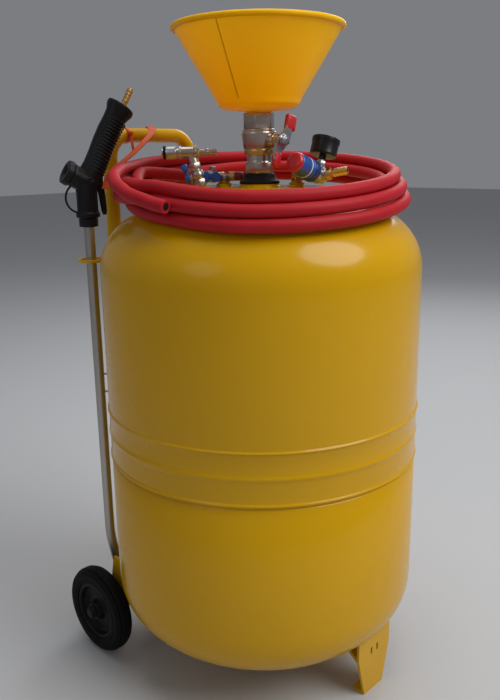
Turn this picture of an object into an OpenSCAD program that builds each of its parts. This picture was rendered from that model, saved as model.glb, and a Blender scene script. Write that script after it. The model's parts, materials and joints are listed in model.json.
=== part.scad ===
// Wheeled pressure tank of a foam sprayer: filling funnel on a ball valve, air
// regulator with gauge, hose and a spray gun with a long lance.
// Origin: on the tank's axis at floor level. +Z up, the foot is at -Y, the
// push handle and the axle are at +Y.

/* [Tank] */
// Outer diameter of the tank
tank_d = 450; // [370:5:545]
// Wall thickness of the shells
tank_wall = 2.5; // [1.5:0.5:4]
// Height of the straight wall between the two domes
wall_h = 446; // [370:2:540]
// Height of each dome
dome_h = 116; // [96:1:140]
// Gap between the lowest point of the tank and the floor
floor_gap = 39; // [32:1:48]
// Height of the middle band
belt_h = 75; // [60:1:92]
// Height of the middle band's lower edge above the lower dome
belt_up = 184; // [150:2:220]

/* [Filling] */
// Outer diameter of the funnel's rim
funnel_d = 232; // [190:2:280]
// Height of the funnel's cone
funnel_h = 107; // [88:1:128]
// Wall thickness of the funnel
funnel_wall = 2.5; // [1.5:0.5:4]
// Diameter of the round floor of the funnel
funnel_floor_d = 112; // [92:2:136]
// Diameter of the filling bore
filler_bore = 21; // [17:0.5:25]

/* [Wheels] */
// Wheel diameter
wheel_d = 136; // [112:2:164]
// Tyre width
tyre_w = 28; // [22:1:34]
// Axle diameter
axle_d = 12; // [10:1:15]
// Distance between the middle planes of the wheels
track = 386; // [350:2:440]

/* [Handle] */
// Diameter of the handle tube
handle_tube_d = 22; // [18:1:27]
// Distance between the handle's legs
handle_w = 160; // [132:2:192]
// Height of the grip above the top of the tank
handle_up = 75; // [62:1:90]

/* [Foot] */
// Width of the foot plate where it meets the tank
foot_w = 75; // [62:1:90]
// Width of the foot plate at the floor
foot_toe_w = 45; // [37:1:54]
// Sideways place of the foot from the middle
foot_off = 18; // [0:1:22]
// Thickness of the foot plate
foot_t = 4; // [3:0.5:5]

/* [Spray gun] */
// Diameter of the lance tube
lance_d = 15; // [12:0.5:18]
// Gap between the lance and the tank's side
lance_gap = 18; // [15:1:22]
// Length of the straight part of the lance
lance_l = 494; // [410:2:510]

/* [Hose] */
// Outer diameter of the hose
hose_d = 17; // [14:0.5:20]

/* [Hidden] */

$fn = 64;
e = 0.1;                 // overlap of pieces of one solid and of cutters
gap = 0.3;               // free space between bodies that only pass each other
fit = 0.05;              // radial clearance of a running fit

// Tank
tank_r = tank_d / 2;
z_low = floor_gap + dome_h;
z_high = z_low + wall_h;
z_top = z_high + dome_h;
z_belt = z_low + belt_up;
dome_p = 2.4;            // squareness of the dome's curve, 2 is an ellipse
dome_steps = 18;
bead_r = 1.6;            // weld and rolled beads on the band
strip_l = 12;            // backing strips inside the joints

function dome_point(a, r, h) = [r * pow(cos(a), 2 / dome_p), h * pow(sin(a), 2 / dome_p)];
function dome_curve(r, h) = [for (i = [0 : dome_steps]) dome_point(90 * i / dome_steps, r, h)];
function dome_z(d) = z_high + dome_h * pow(1 - pow(d / tank_r, dome_p), 1 / dome_p);
function dome_r(z) = tank_r * pow(1 - pow((z_low - z) / dome_h, dome_p), 1 / dome_p);
function polar(r, a) = [r * cos(a), r * sin(a)];

// Filling valve, stacked on the top of the tank
valve_r = 24;
gasket_r = 28;
gasket_h = 14;
boss_r = 27;
boss_h = 4;
z_gasket = z_top + boss_h;
z_valve = z_gasket + gasket_h;          // bottom of the lower hexagon
hex_r = 20.5;
hex_h = 15;
neck_h = 10;
band_h = 8;
house_h = 23;
end_h = 24;
z_band = z_valve + hex_h + neck_h;
z_house = z_band + band_h;
z_end = z_house + house_h;
z_funnel = z_end + end_h;
z_ball = z_house + 10;
ball_r = 15.5;
bore_r = filler_bore / 2;
socket_r = 16;                          // threaded mouth of the end cap
socket_h = 16;
stem_r = 4.5;
plate_y = 42;                           // handle plate's distance from the valve axis
plate_t = 2.5;
wing_x = 14;
wing_z = 30;
cap_size = [15, 8, 24];

// Funnel
funnel_r = funnel_d / 2;
funnel_floor_r = funnel_floor_d / 2;
rim_r = 3.5;
funnel_foot = 8;                        // drop of the rounded floor towards the neck
neck_r = socket_r - fit;

// Fittings on the left, along a line from the tank's axis
fit_az = 133;
inlet_w = 79;                           // where the inlet riser leaves the dome
inlet_lean = 17;
riser_r = 7.5;
coupler_z = z_top + 47.5;
coupler_w = 96;                         // middle of the coupler from the axis
inlet_foot = polar(inlet_w, fit_az);
z_inlet = dome_z(inlet_w);
riser_l = (coupler_z - z_inlet) / cos(inlet_lean);
lever_up = 17;
inlet_ball_r = 5;

// Fittings behind the valve
mix_at = [-14, 56];
mix_z = z_top + 14;
mix_r = 6.5;
mix_l = 20;
mix_stem_w = 11;
safety_at = [-46, 84];
barb_r = 5;
barb_l = 28;

// Regulator, its axis leans down towards +X
reg_at = [51, -63];
reg_z = z_top + 15;
reg_lean = 20;
reg_r = 13;
knob_r = 14;
elbow_y = -24;
gauge_r = 19.5;
gauge_l = 24;
gauge_up = 27;                          // from the regulator's axis to the gauge's back
needle_up = gauge_up + gauge_l - 6;

// Handle
tube_r = handle_tube_d / 2;
handle_y = tank_r + 9;
handle_x = handle_w / 2;
handle_z = z_top + handle_up;
handle_foot_z = z_belt + belt_h + 16;
bend_r = 34;
tab_w = 14;
tab_h = 30;

// Wheels and axle
wheel_r = wheel_d / 2;
axle_r = axle_d / 2;
axle_y = dome_r(wheel_r) + axle_r + 0.6;
wheel_x = track / 2;
hub_r = 45;
hub_boss_r = 14;
bracket_t = 4;
bracket_x = wheel_x - tyre_w / 2 - 14;
bracket_h = 82;                         // from the axle to the bracket's top
washer_t = 2;

// Foot
foot_y = dome_r(90) - foot_t;
lip_l = 22;
foot_h = 62;                            // height of the plate's tapered part
foot_top = 120;                         // plate blank's height before it is cut to the tank
slot_r = 2;
slot_l = 12;
slot_pitch = 14;
slot_z = 66;

// Gun and lance
lance_r = lance_d / 2;
lance_az = 126;
lance_at = polar(tank_r + lance_gap + lance_r, lance_az);
gun_az = -17;                           // the side the trigger is on
z_nut = z_high + 62;                    // lower face of the gun's nut
nut_h = 12;
barrel_r = 13.5;
barrel_h = 72;
z_joint = z_nut + nut_h + 51;           // where the grip meets the barrel
grip_lean = 28;
grip_l = 118;
grip_r = 14;
boss_l = 36;
z_bend = z_nut - lance_l;
tip_lean = 11;
tip_l = 88;                             // from the bend to the nozzle's end
nozzle_l = 22;
tip_low = z_bend - tip_l * cos(tip_lean) - (lance_r - 2) * sin(tip_lean);
rest_t = 3;
ring_r = 17.5;
rod_r = 2.5;
z_ring = z_high + 13;
clip_z = [z_low + 285, z_low + 257];
trigger_pin = [17, 6];                  // from the joint of grip and barrel
pin_r = 2.5;
slot_t = 10;                            // width of the slot the trigger moves in

// Hose coil: a leaning ring that lies round the top of the tank
coil_low = [205, -18];
coil_high = [190, 18];
coil_r = 12;
coil_tilt = 6.6;
coil_az = 43;                           // the direction in which the ring rises
coil_z = z_top + 5;

// Route of the hose from its barb to the coil
lead_route = [
    [-8, 73, 14], [-8, 83, 14], [-8.6, 94, 14], [-12, 107, 14], [-20, 121, 15],
    [-33, 136, 16], [-48, 149, 18], [-66, 158, 20], [-84, 164, 21]];
lead_sides = 10;

// Strap from the grip to the coil
strap_x = -28;
strap_w = 10;
strap_t = 1.6;
strap_low = [-134, 134, z_top + 35];

YELLOW = [0.86, 0.68, 0.02];
ORANGE = [0.95, 0.62, 0.03];
NICKEL = [0.66, 0.62, 0.56];
BRASS = [0.72, 0.55, 0.22];
ZINC = [0.68, 0.72, 0.74];
BLACK = [0.08, 0.08, 0.09];
BLUE = [0.08, 0.3, 0.72];
RED = [0.75, 0.05, 0.08];

// ---------- shared shapes ----------

module tank_solid() {
    rotate_extrude($fn = 128) polygon(concat(
        [for (p = dome_curve(tank_r, dome_h)) [max(p[0], 0), z_high + p[1]]],
        [for (i = [dome_steps : -1 : 0])
            let (p = dome_curve(tank_r, dome_h)[i]) [max(p[0], 0), z_low - p[1]]]));
}

// One half of the tank: a deep-drawn dome with a straight skirt of length l
module half_shell(l) {
    outer = dome_curve(tank_r, dome_h);
    inner = dome_curve(tank_r - tank_wall, dome_h - tank_wall);
    rotate_extrude($fn = 128) polygon(concat(
        [[tank_r, -l]], [for (p = outer) [max(p[0], 0), p[1]]],
        [for (i = [dome_steps : -1 : 0]) [max(inner[i][0], 0), inner[i][1]]],
        [[tank_r - tank_wall, -l]]));
}

module hexagon(r, h) { cylinder(r = r, h = h, $fn = 6); }

// A hose tail along +Z: a stem with saw-tooth rings and a through bore
module barb(r, l, bore) {
    teeth = 4;
    pitch = l / (teeth + 1);
    difference() {
        union() {
            cylinder(r = r * 0.82, h = l);
            for (i = [1 : teeth]) translate([0, 0, i * pitch])
                cylinder(r1 = r, r2 = r * 0.82, h = pitch * 0.8);
        }
        translate([0, 0, -e]) cylinder(r = bore, h = l + 2 * e);
    }
}

module ball(r, bore) {
    difference() {
        sphere(r = r);
        translate([0, 0, -r - e]) cylinder(r = bore, h = 2 * r + 2 * e);
    }
}

module side_frame() { rotate([0, 0, fit_az]) children(); }
module inlet_frame() {
    translate([inlet_foot[0], inlet_foot[1], z_inlet])
        rotate([0, 0, fit_az]) rotate([0, inlet_lean, 0]) children();
}
module mix_frame() { translate([mix_at[0], mix_at[1], mix_z]) rotate([0, 0, fit_az]) children(); }
// The regulator's own axis is +Z here and points to its knob; +X is the gauge's side
module reg_frame() {
    translate([reg_at[0], reg_at[1], reg_z]) rotate([0, reg_lean - 90, 0]) children();
}
module gun_frame() {
    translate([lance_at[0], lance_at[1], 0]) rotate([0, 0, gun_az]) children();
}
module grip_frame() {
    gun_frame() translate([0, 0, z_joint]) rotate([0, grip_lean, 0]) children();
}
module wheel_frame(side) {
    translate([side * wheel_x, axle_y, wheel_r]) rotate([0, side * 90, 0]) children();
}

// ---------- tank ----------

module socket_cut(at, r) { translate([at[0], at[1], z_high]) cylinder(r = r, h = dome_h + 60); }

ports = [[0, 0, boss_r], [inlet_foot[0], inlet_foot[1], 11], [mix_at[0], mix_at[1], 11],
         [safety_at[0], safety_at[1], 10], [reg_at[0], elbow_y, 11]];

module tank_upper_shell() {
    color(YELLOW) difference() {
        translate([0, 0, z_high]) half_shell(z_high - z_belt - belt_h);
        for (p = ports) socket_cut(p, p[2]);
    }
}

module tank_lower_shell() {
    color(YELLOW) translate([0, 0, z_low]) mirror([0, 0, 1]) half_shell(belt_up);
}

// The band between the two shells, with its beads and the backing strips
module tank_belt() {
    r = tank_r;
    mid = belt_h * 0.52;
    color(YELLOW) translate([0, 0, z_belt]) rotate_extrude($fn = 128) {
        translate([r - tank_wall, 0]) square([tank_wall, belt_h]);
        translate([r - 2 * tank_wall, -strip_l]) square([tank_wall, belt_h + 2 * strip_l]);
        for (z = [bead_r, mid, belt_h - bead_r])
            translate([r - bead_r * 0.4, z]) circle(r = bead_r * 1.5, $fn = 24);
    }
}

// Welded steel sockets for the filler and the four smaller ports
module tank_sockets() {
    color(YELLOW) for (p = ports) {
        d = norm([p[0], p[1]]);
        low = dome_z(d + p[2]) - tank_wall - 3;
        top = p[2] == boss_r ? z_gasket : dome_z(d) + 6;
        translate([p[0], p[1], low]) difference() {
            cylinder(r = p[2], h = top - low);
            translate([0, 0, -e]) cylinder(r = p[2] == boss_r ? bore_r : 4, h = top - low + 2 * e);
        }
    }
}

module dip_tube() {
    top = dome_z(norm(mix_at)) - tank_wall - 8;
    low = floor_gap + 30;
    color(NICKEL) translate([mix_at[0], mix_at[1], low]) difference() {
        cylinder(r = 6, h = top - low);
        translate([0, 0, -e]) cylinder(r = 4.5, h = top - low + 2 * e);
    }
}

// ---------- filling valve and funnel ----------

module filler_gasket() {
    color(BLACK) translate([0, 0, z_gasket]) rotate_extrude() polygon([
        [bore_r, 0], [gasket_r - 1, 0], [gasket_r, 1], [gasket_r, 4], [gasket_r - 6, 9],
        [gasket_r - 7, gasket_h], [bore_r, gasket_h]]);
}

module valve_body() {
    inner = ball_r + 1;
    color(NICKEL) difference() {
        union() {
            translate([0, 0, z_valve]) hexagon(hex_r, hex_h);
            translate([0, 0, z_valve + hex_h - e]) cylinder(r = 17.5, h = neck_h + 2 * e);
            translate([0, 0, z_band]) cylinder(r = 18, h = band_h + e);
            translate([0, 0, z_house]) cylinder(r1 = valve_r - 2.5, r2 = valve_r, h = house_h);
            translate([0, 0, z_ball]) rotate([90, 0, 0]) cylinder(r = 9, h = valve_r + 6);
        }
        translate([0, 0, z_valve - e]) cylinder(r = bore_r, h = z_end - z_valve + 2 * e);
        translate([0, 0, z_ball - ball_r - 1]) cylinder(r = inner, h = z_end - z_ball + ball_r + 2);
        translate([0, 0, z_ball]) rotate([90, 0, 0]) cylinder(r = stem_r + fit, h = valve_r + 7);
        translate([0, -valve_r + 1, z_ball]) rotate([90, 0, 0]) cylinder(r = 6.5, h = 7);
    }
}

module valve_band() {
    color(BRASS) translate([0, 0, z_band]) difference() {
        cylinder(r = 20.5, h = band_h);
        translate([0, 0, -e]) cylinder(r = 18, h = band_h + 2 * e);
    }
}

module valve_end_cap() {
    color(NICKEL) difference() {
        translate([0, 0, z_end]) hexagon(hex_r + 1.5, end_h);
        translate([0, 0, z_end - e]) cylinder(r = bore_r, h = end_h + 2 * e);
        translate([0, 0, z_funnel - socket_h]) cylinder(r = socket_r, h = socket_h + e);
    }
}

module valve_seats() {
    seat_h = 3.5;
    color("white") for (z = [z_ball - ball_r - 1, z_end - seat_h - gap])
        translate([0, 0, z]) difference() {
            cylinder(r = ball_r + 0.9, h = seat_h);
            translate([0, 0, -e]) cylinder(r = bore_r, h = seat_h + 2 * e);
            translate([0, 0, z_ball - z]) sphere(r = ball_r + gap);
        }
}

module stem_gland() {
    color(BRASS) translate([0, -valve_r - 6, z_ball]) rotate([90, 0, 0]) difference() {
        union() {
            hexagon(9, 6);
            translate([0, 0, -7]) cylinder(r = 6.45, h = 7 + e);
        }
        translate([0, 0, -8]) cylinder(r = stem_r + fit, h = 16);
    }
}

module valve_ball() {
    slot_w = 5;
    color(ZINC) translate([0, 0, z_ball]) difference() {
        ball(ball_r, bore_r);
        translate([-slot_w / 2, -ball_r - 1, -ball_r]) cube([slot_w, 4, 2 * ball_r]);
    }
}

// Stem with its driving tongue, and the nut that holds the handle plate
module valve_stem() {
    color(ZINC) translate([0, 0, z_ball]) rotate([90, 0, 0]) {
        translate([0, 0, ball_r]) cylinder(r = stem_r, h = plate_y + 9 - ball_r);
        translate([-2.2, -4, ball_r - 2.5]) cube([4.4, 8, 3]);
        translate([0, 0, plate_y + plate_t]) hexagon(7.5, 5);
    }
}

// Pressed steel plate, bent like a wave, with a wing each way
module handle_plate() {
    color(ZINC) translate([0, -plate_y, z_ball]) rotate([90, 0, 0]) difference() {
        union() {
            hull() for (s = [-1, 1]) translate([s * 3, s * 3, 0])
                cylinder(r = 9, h = plate_t, $fn = 32);
            for (s = [-1, 1]) hull() {
                translate([s * 5, s * 6, 0]) cylinder(r = 5, h = plate_t, $fn = 32);
                translate([s * (wing_x - 4), s * (wing_z - 2), 0])
                    cylinder(r = 4, h = plate_t, $fn = 32);
            }
        }
        translate([0, 0, -e]) cylinder(r = stem_r, h = plate_t + 2 * e);
    }
}

// Dipped plastic caps on the two wings
module handle_caps() {
    color(RED) translate([0, -plate_y - plate_t / 2, z_ball]) for (s = [-1, 1])
        difference() {
            translate([s * wing_x, 0, s * wing_z]) hull() for (x = [-1, 1]) for (z = [-1, 1])
                translate([x * (cap_size[0] / 2 - 3), 0, z * (cap_size[2] / 2 - 3)])
                    rotate([90, 0, 0])
                        cylinder(r = 3, h = cap_size[1], center = true, $fn = 24);
            rotate([90, 0, 0]) translate([0, 0, -plate_t / 2]) hull() {
                translate([s * 5, s * 6, 0]) cylinder(r = 5, h = plate_t, $fn = 32);
                translate([s * (wing_x - 4), s * (wing_z - 2), 0])
                    cylinder(r = 4, h = plate_t, $fn = 32);
            }
        }
}

module funnel() {
    w = funnel_wall;
    r = funnel_r - rim_r;
    f = funnel_floor_r;
    h = funnel_h;
    corner = 9;
    color(ORANGE) translate([0, 0, z_funnel]) rotate_extrude($fn = 96) {
        polygon([
            [neck_r, 1 - socket_h], [neck_r, 2], [f - corner, funnel_foot - 2],
            [f - 2, funnel_foot + 2], [f, funnel_foot + corner], [r, h],
            [r - w, h], [f - w, funnel_foot + corner + 1], [f - 2 - w, funnel_foot + 4],
            [f - corner - w / 2, funnel_foot + w - 2], [neck_r - w, 2 + w],
            [neck_r - w, 1 - socket_h]]);
        translate([r, h]) circle(r = rim_r, $fn = 24);
    }
}

// ---------- air inlet ----------

module inlet_riser() {
    color(NICKEL) inlet_frame() difference() {
        union() {
            translate([0, 0, 7]) hexagon(riser_r + 1.5, 9);
            translate([0, 0, 15]) cylinder(r = riser_r, h = riser_l - 15);
            translate([0, 0, 22]) rotate([0, 90, 0]) cylinder(r = 5, h = riser_r + 4);
            translate([0, 0, 30]) hexagon(riser_r + 1.5, 9);
        }
        translate([0, 0, 22]) sphere(r = inlet_ball_r + gap);
        translate([0, 0, 22]) rotate([0, 90, 0]) cylinder(r = 2.5 + fit, h = riser_r + 5);
    }
}

module inlet_ball() {
    color(ZINC) inlet_frame() translate([0, 0, 22]) {
        ball(inlet_ball_r, 2.5);
        rotate([0, 90, 0]) translate([0, 0, inlet_ball_r - 1])
            cylinder(r = 2.5, h = riser_r + 9 - inlet_ball_r);
    }
}

// Short plastic wing lever; it stands on the end of the valve's little stem
module wing_lever(bore) {
    difference() {
        union() {
            cylinder(r = 7, h = 5);
            translate([-6, 0, 0.5]) cube([12, lever_up, 3.5]);
            translate([-8, lever_up - 6, 0.5]) cube([16, 8, 3.5]);
        }
        translate([0, 0, -e]) cylinder(r = bore, h = 5 + 2 * e);
    }
}

module inlet_lever() {
    color(BLUE) inlet_frame() translate([riser_r + 4 + gap, 0, 22])
        rotate([0, 90, 0]) rotate([0, 0, 90]) wing_lever(2.5);
}

// Quick coupler and its nose, lying across the top of the riser
module coupler_body() {
    color(NICKEL) side_frame() translate([coupler_w, 0, coupler_z]) rotate([0, 90, 0])
        difference() {
            union() {
                translate([0, 0, -9]) cylinder(r = 9.5, h = 3);
                translate([0, 0, -7]) cylinder(r = 8, h = 21);
                translate([0, 0, 13]) cylinder(r = 5.6, h = 25);
                translate([0, 0, -14]) hexagon(6.5, 6);
                translate([0, 0, -38]) cylinder(r = 4.2, h = 25);
                translate([0, 0, -38]) cylinder(r = 5, h = 4);
                translate([0, 0, -25]) cylinder(r = 5, h = 3);
            }
            translate([0, 0, 6]) cylinder(r = 3.8, h = 33);
            translate([0, 0, -39]) cylinder(r = 2.6, h = 46);
        }
}

module coupler_sleeve() {
    color(ZINC) side_frame() translate([coupler_w, 0, coupler_z]) rotate([0, 90, 0])
        difference() {
            union() {
                translate([0, 0, 18]) cylinder(r = 8.6, h = 18);
                translate([0, 0, 33]) cylinder(r = 9.2, h = 3);
            }
            translate([0, 0, 17]) cylinder(r = 5.6 + fit, h = 20);
        }
}

// ---------- mixing valve, safety valve and hose tails ----------

module mix_valve_body() {
    color(NICKEL) mix_frame() difference() {
        union() {
            translate([0, 0, dome_z(norm(mix_at)) + 6 - mix_z])
                hexagon(9.5, mix_z - dome_z(norm(mix_at)) + 3);
            rotate([0, 90, 0]) cylinder(r = mix_r, h = mix_l);
            rotate([0, 90, 0]) translate([0, 0, mix_l - 4]) hexagon(mix_r + 1, 4);
            translate([mix_stem_w, 0, 0]) rotate([-90, 0, 0]) cylinder(r = 4.5, h = mix_r + 3);
            translate([-mix_l + 5, 0, 0]) rotate([0, 90, 0]) hexagon(7.5, 8);
        }
        translate([mix_stem_w, 0, 0]) sphere(r = inlet_ball_r + gap);
        translate([mix_stem_w, 0, 0]) rotate([-90, 0, 0])
            cylinder(r = 2.5 + fit, h = mix_r + 4);
    }
}

module mix_ball() {
    color(ZINC) mix_frame() translate([mix_stem_w, 0, 0]) {
        rotate([0, 90, 0]) ball(inlet_ball_r, 2.5);
        rotate([-90, 0, 0]) translate([0, 0, inlet_ball_r - 1])
            cylinder(r = 2.5, h = mix_r + 8 - inlet_ball_r);
    }
}

module mix_lever() {
    color(BLUE) mix_frame() translate([mix_stem_w, mix_r + 3 + gap, 0])
        rotate([-90, 0, 0]) rotate([0, 0, -90]) wing_lever(2.5);
}

module blank_plug() {
    color([0.4, 0.03, 0.06]) mix_frame() translate([-mix_l + 5, 0, 0])
        rotate([0, -90, 0]) cylinder(r = 6.5, h = 12);
}

module safety_valve() {
    foot = dome_z(norm(safety_at)) + 6;
    color(BRASS) translate([safety_at[0], safety_at[1], foot]) difference() {
        union() {
            hexagon(8.5, 9);
            translate([0, 0, 8]) cylinder(r = 6.5, h = 22);
        }
        translate([0, 0, 18]) cylinder(r = 2 + fit, h = 13);
    }
}

// Pull rod and ring of the safety valve
module safety_pull() {
    foot = dome_z(norm(safety_at)) + 6;
    color(ZINC) translate([safety_at[0], safety_at[1], foot]) {
        translate([0, 0, 19]) cylinder(r = 2, h = 16);
        translate([0, 0, 41.5]) rotate([0, 0, fit_az]) rotate([90, 0, 0])
            rotate_extrude($fn = 40) translate([7, 0]) circle(r = 1.3, $fn = 20);
    }
}

// Brass hose tails of the liquid outlet and of the regulator
module hose_barbs() {
    color(BRASS) {
        translate([mix_at[0] + 6, mix_at[1] + 6, mix_z]) rotate([-90, 0, 0]) {
            hexagon(6.5, 6);
            translate([0, 0, 6 - e]) barb(barb_r, barb_l, 3);
        }
        translate([reg_at[0], reg_at[1] - 8, reg_z]) rotate([0, 0, 18]) rotate([80, 0, 0]) {
            hexagon(8.5, 12);
            translate([0, 0, 12 - e]) barb(barb_r + 1, barb_l - 4, 3.4);
        }
    }
}

// ---------- regulator and gauge ----------

module regulator_elbow() {
    foot = dome_z(norm([reg_at[0], elbow_y])) + 6;
    color(BRASS) {
        translate([reg_at[0], elbow_y, foot]) {
            hexagon(8.5, 7);
            cylinder(r = 6, h = reg_z - foot);
        }
        translate([reg_at[0], elbow_y, reg_z]) sphere(r = 6.8);
        translate([reg_at[0], elbow_y, reg_z]) rotate([90, 0, 0])
            cylinder(r = 5.5, h = elbow_y - reg_at[1] - reg_r + 3);
    }
}

module regulator_body() {
    color(ZINC) reg_frame() difference() {
        union() {
            translate([0, 0, -10]) cylinder(r = reg_r - 2, h = 22);
            translate([0, 0, -1]) cylinder(r = reg_r, h = 14);
            rotate([90, 0, 0]) rotate([0, 0, 45])
                cylinder(r = 8.5, h = 2 * reg_r + 3, center = true);
            translate([0, 0, -14]) cylinder(r = 5, h = 5);
            translate([0, 0, 1]) rotate([0, 90, 0]) rotate([0, 0, 20]) {
                cylinder(r = 5, h = gauge_up - 6);
                translate([0, 0, reg_r - 2]) hexagon(7.5, 8);
            }
        }
        translate([0, 0, 5]) cylinder(r = 4, h = 10);
    }
}

module regulator_bonnet() {
    color([0.06, 0.14, 0.5]) reg_frame() translate([0, 0, 13]) difference() {
        cylinder(r = reg_r + 2, h = 10);
        translate([0, 0, 4]) cylinder(r = 7.4, h = 7);
    }
}

module regulator_knob() {
    color(BLUE) reg_frame() translate([0, 0, 23 + gap]) difference() {
        union() {
            cylinder(r = knob_r, h = 28);
            cylinder(r = knob_r + 0.7, h = 3);
            translate([0, 0, -5]) cylinder(r = 7, h = 6);
        }
        translate([0, 0, 25]) cylinder(r = knob_r - 2, h = 4);
    }
}

module knob_cap() {
    color(RED) reg_frame() translate([0, 0, 48 + gap]) cylinder(r = knob_r - 2, h = 4.5);
}

module gauge_frame() { reg_frame() rotate([0, 90, 0]) children(); }

module gauge_case() {
    color(BLACK) gauge_frame() translate([0, 0, gauge_up]) difference() {
        union() {
            translate([0, 0, 0]) cylinder(r = gauge_r - 1, h = gauge_l);
            translate([0, 0, gauge_l - 6]) cylinder(r = gauge_r, h = 6);
            translate([0, 0, -6]) cylinder(r = 5, h = 7);
        }
        translate([0, 0, gauge_l - 9]) cylinder(r = gauge_r - 2.5, h = 10);
    }
}

module gauge_dial() {
    color("white") gauge_frame() translate([0, 0, gauge_up + gauge_l - 9]) difference() {
        cylinder(r = gauge_r - 2.5, h = 1);
        translate([0, 0, -e]) cylinder(r = 1 + fit, h = 1 + 2 * e);
    }
}

module gauge_needle() {
    color("red") gauge_frame() {
        translate([0, 0, needle_up - 2.7]) cylinder(r = 1, h = 3.9);
        translate([0, 0, needle_up]) {
            cylinder(r = 2, h = 1);
            rotate([0, 0, 225]) translate([-4, -0.6, 0]) cube([gauge_r - 1, 1.2, 0.8]);
        }
    }
}

module gauge_lens() {
    color([0.8, 0.9, 0.95, 0.35]) gauge_frame() translate([0, 0, gauge_up + gauge_l - 3])
        cylinder(r = gauge_r - 2.5, h = 2);
}

// ---------- handle, hooks ----------

module handle_tube() {
    leg_top = handle_z - bend_r;
    color(YELLOW) translate([0, handle_y, 0]) {
        for (s = [-1, 1]) {
            translate([s * handle_x, 0, handle_foot_z])
                cylinder(r = tube_r, h = leg_top - handle_foot_z);
            translate([s * (handle_x - bend_r), 0, leg_top]) rotate([90, 0, 0])
                rotate([0, 0, s > 0 ? 0 : 90]) rotate_extrude(angle = 90)
                    translate([bend_r, 0]) circle(r = tube_r);
        }
        translate([-handle_x + bend_r, 0, handle_z]) rotate([0, 90, 0])
            cylinder(r = tube_r, h = 2 * (handle_x - bend_r));
    }
}

module handle_tabs() {
    color(YELLOW) difference() {
        for (s = [-1, 1]) for (z = [handle_foot_z + 20, z_high - 40])
            translate([s * handle_x - tab_w / 2, tank_r - 40, z])
                cube([tab_w, handle_y - tank_r + 38, tab_h]);
        tank_solid();
        for (s = [-1, 1]) translate([s * handle_x, handle_y, 0])
            cylinder(r = tube_r, h = z_high);
    }
}

// The ring that holds the lance upright, the plate its nozzle stands on, and two pegs
module lance_hooks() {
    leg = [-handle_x, handle_y];
    arm = leg - lance_at;
    arm_az = atan2(arm[1], arm[0]);
    tip_at = lance_at + polar(tip_l * sin(tip_lean), lance_az + 180);
    rest_z = tip_low - gap - rest_t;
    reach = norm(lance_at) - lance_r - gap;
    color(YELLOW) {
        translate([lance_at[0], lance_at[1], z_ring]) {
            rotate_extrude($fn = 48) translate([ring_r, 0]) circle(r = rod_r, $fn = 24);
            rotate([0, 0, arm_az]) translate([ring_r, 0, 0]) rotate([0, 90, 0])
                cylinder(r = rod_r, h = norm(arm) - ring_r - tube_r + 1);
        }
        difference() {
            union() {
                translate([tip_at[0], tip_at[1], rest_z]) cylinder(r = 13, h = rest_t);
                translate([-bracket_x, tip_at[1] - 7, rest_z])
                    cube([bracket_x + tip_at[0], 14, rest_t]);
            }
            translate([0, axle_y, wheel_r]) rotate([0, 90, 0])
                cylinder(r = axle_r + gap, h = 2 * track, center = true);
        }
        for (z = clip_z) difference() {
            translate([0, 0, z]) rotate([0, 90, lance_az]) cylinder(r = 1.5, h = reach);
            translate([0, 0, z - 5]) cylinder(r = tank_r, h = 10);
        }
    }
}

// ---------- wheels ----------

module wheel_brackets() {
    y = axle_y;
    z = wheel_r;
    color(YELLOW) for (s = [-1, 1]) difference() {
        translate([s * bracket_x - bracket_t / 2, 0, 0]) rotate([90, 0, 90])
            linear_extrude(bracket_t) union() {
                polygon([[y + 12, z], [y - 6, z + bracket_h], [y - 80, z + bracket_h],
                         [y - 60, z + 20], [y - 11, z - 5]]);
                translate([y, z]) circle(r = 12.5);
            }
        tank_solid();
        translate([s * bracket_x, axle_y, wheel_r]) rotate([0, 90, 0])
            cylinder(r = axle_r, h = 3 * bracket_t, center = true);
    }
}

// A stub axle in each bracket
module axle() {
    inner = bracket_x - bracket_t / 2 - 8 - wheel_x;
    color(ZINC) for (s = [-1, 1]) wheel_frame(s) {
        translate([0, 0, inner]) cylinder(r = axle_r, h = tyre_w / 2 + 6 - inner);
        translate([0, 0, inner + 2]) hexagon(axle_r + 4, 5);
    }
}

// Washers each side of the hubs and the caps pressed on the axle's ends
module axle_fasteners() {
    color(ZINC) for (s = [-1, 1]) wheel_frame(s) {
        for (z = [-tyre_w / 2 - washer_t - gap, tyre_w / 2 + gap]) translate([0, 0, z])
            difference() {
                cylinder(r = axle_r + 4.5, h = washer_t);
                translate([0, 0, -e]) cylinder(r = axle_r, h = washer_t + 2 * e);
            }
        translate([0, 0, tyre_w / 2 + gap + washer_t]) difference() {
            cylinder(r1 = axle_r + 3, r2 = axle_r + 1, h = 5.5);
            translate([0, 0, -e]) cylinder(r = axle_r, h = 6 - gap - washer_t + e);
        }
    }
}

module hub(side) {
    w = tyre_w / 2;
    color(BLACK) wheel_frame(side) rotate_extrude($fn = 96) polygon([
        [axle_r + fit, -w], [hub_boss_r, -w], [hub_boss_r, -5], [hub_r - 9, -3],
        [hub_r - 5, -w + 3], [hub_r, -w + 3], [hub_r, w - 3], [hub_r - 5, w - 3],
        [hub_r - 9, 3], [hub_boss_r + 2, 5], [hub_boss_r - 1, w], [axle_r + fit, w]]);
}

module tyre(side) {
    w = tyre_w / 2;
    r = wheel_r;
    color([0.05, 0.05, 0.05]) wheel_frame(side) rotate_extrude($fn = 96) polygon([
        [hub_r, -w + 2], [hub_r + 3, -w], [r - 10, -w], [r - 4, -w + 3], [r - 3, -w + 5],
        [r - 3.5, -w + 6], [r, -w + 8], [r, w - 8], [r - 3.5, w - 6], [r - 3, w - 5],
        [r - 4, w - 3], [r - 10, w], [hub_r + 3, w], [hub_r, w - 2]]);
}

module hub_left() { hub(-1); }
module tyre_left() { tyre(-1); }
module hub_right() { hub(1); }
module tyre_right() { tyre(1); }

// ---------- foot ----------

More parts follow.
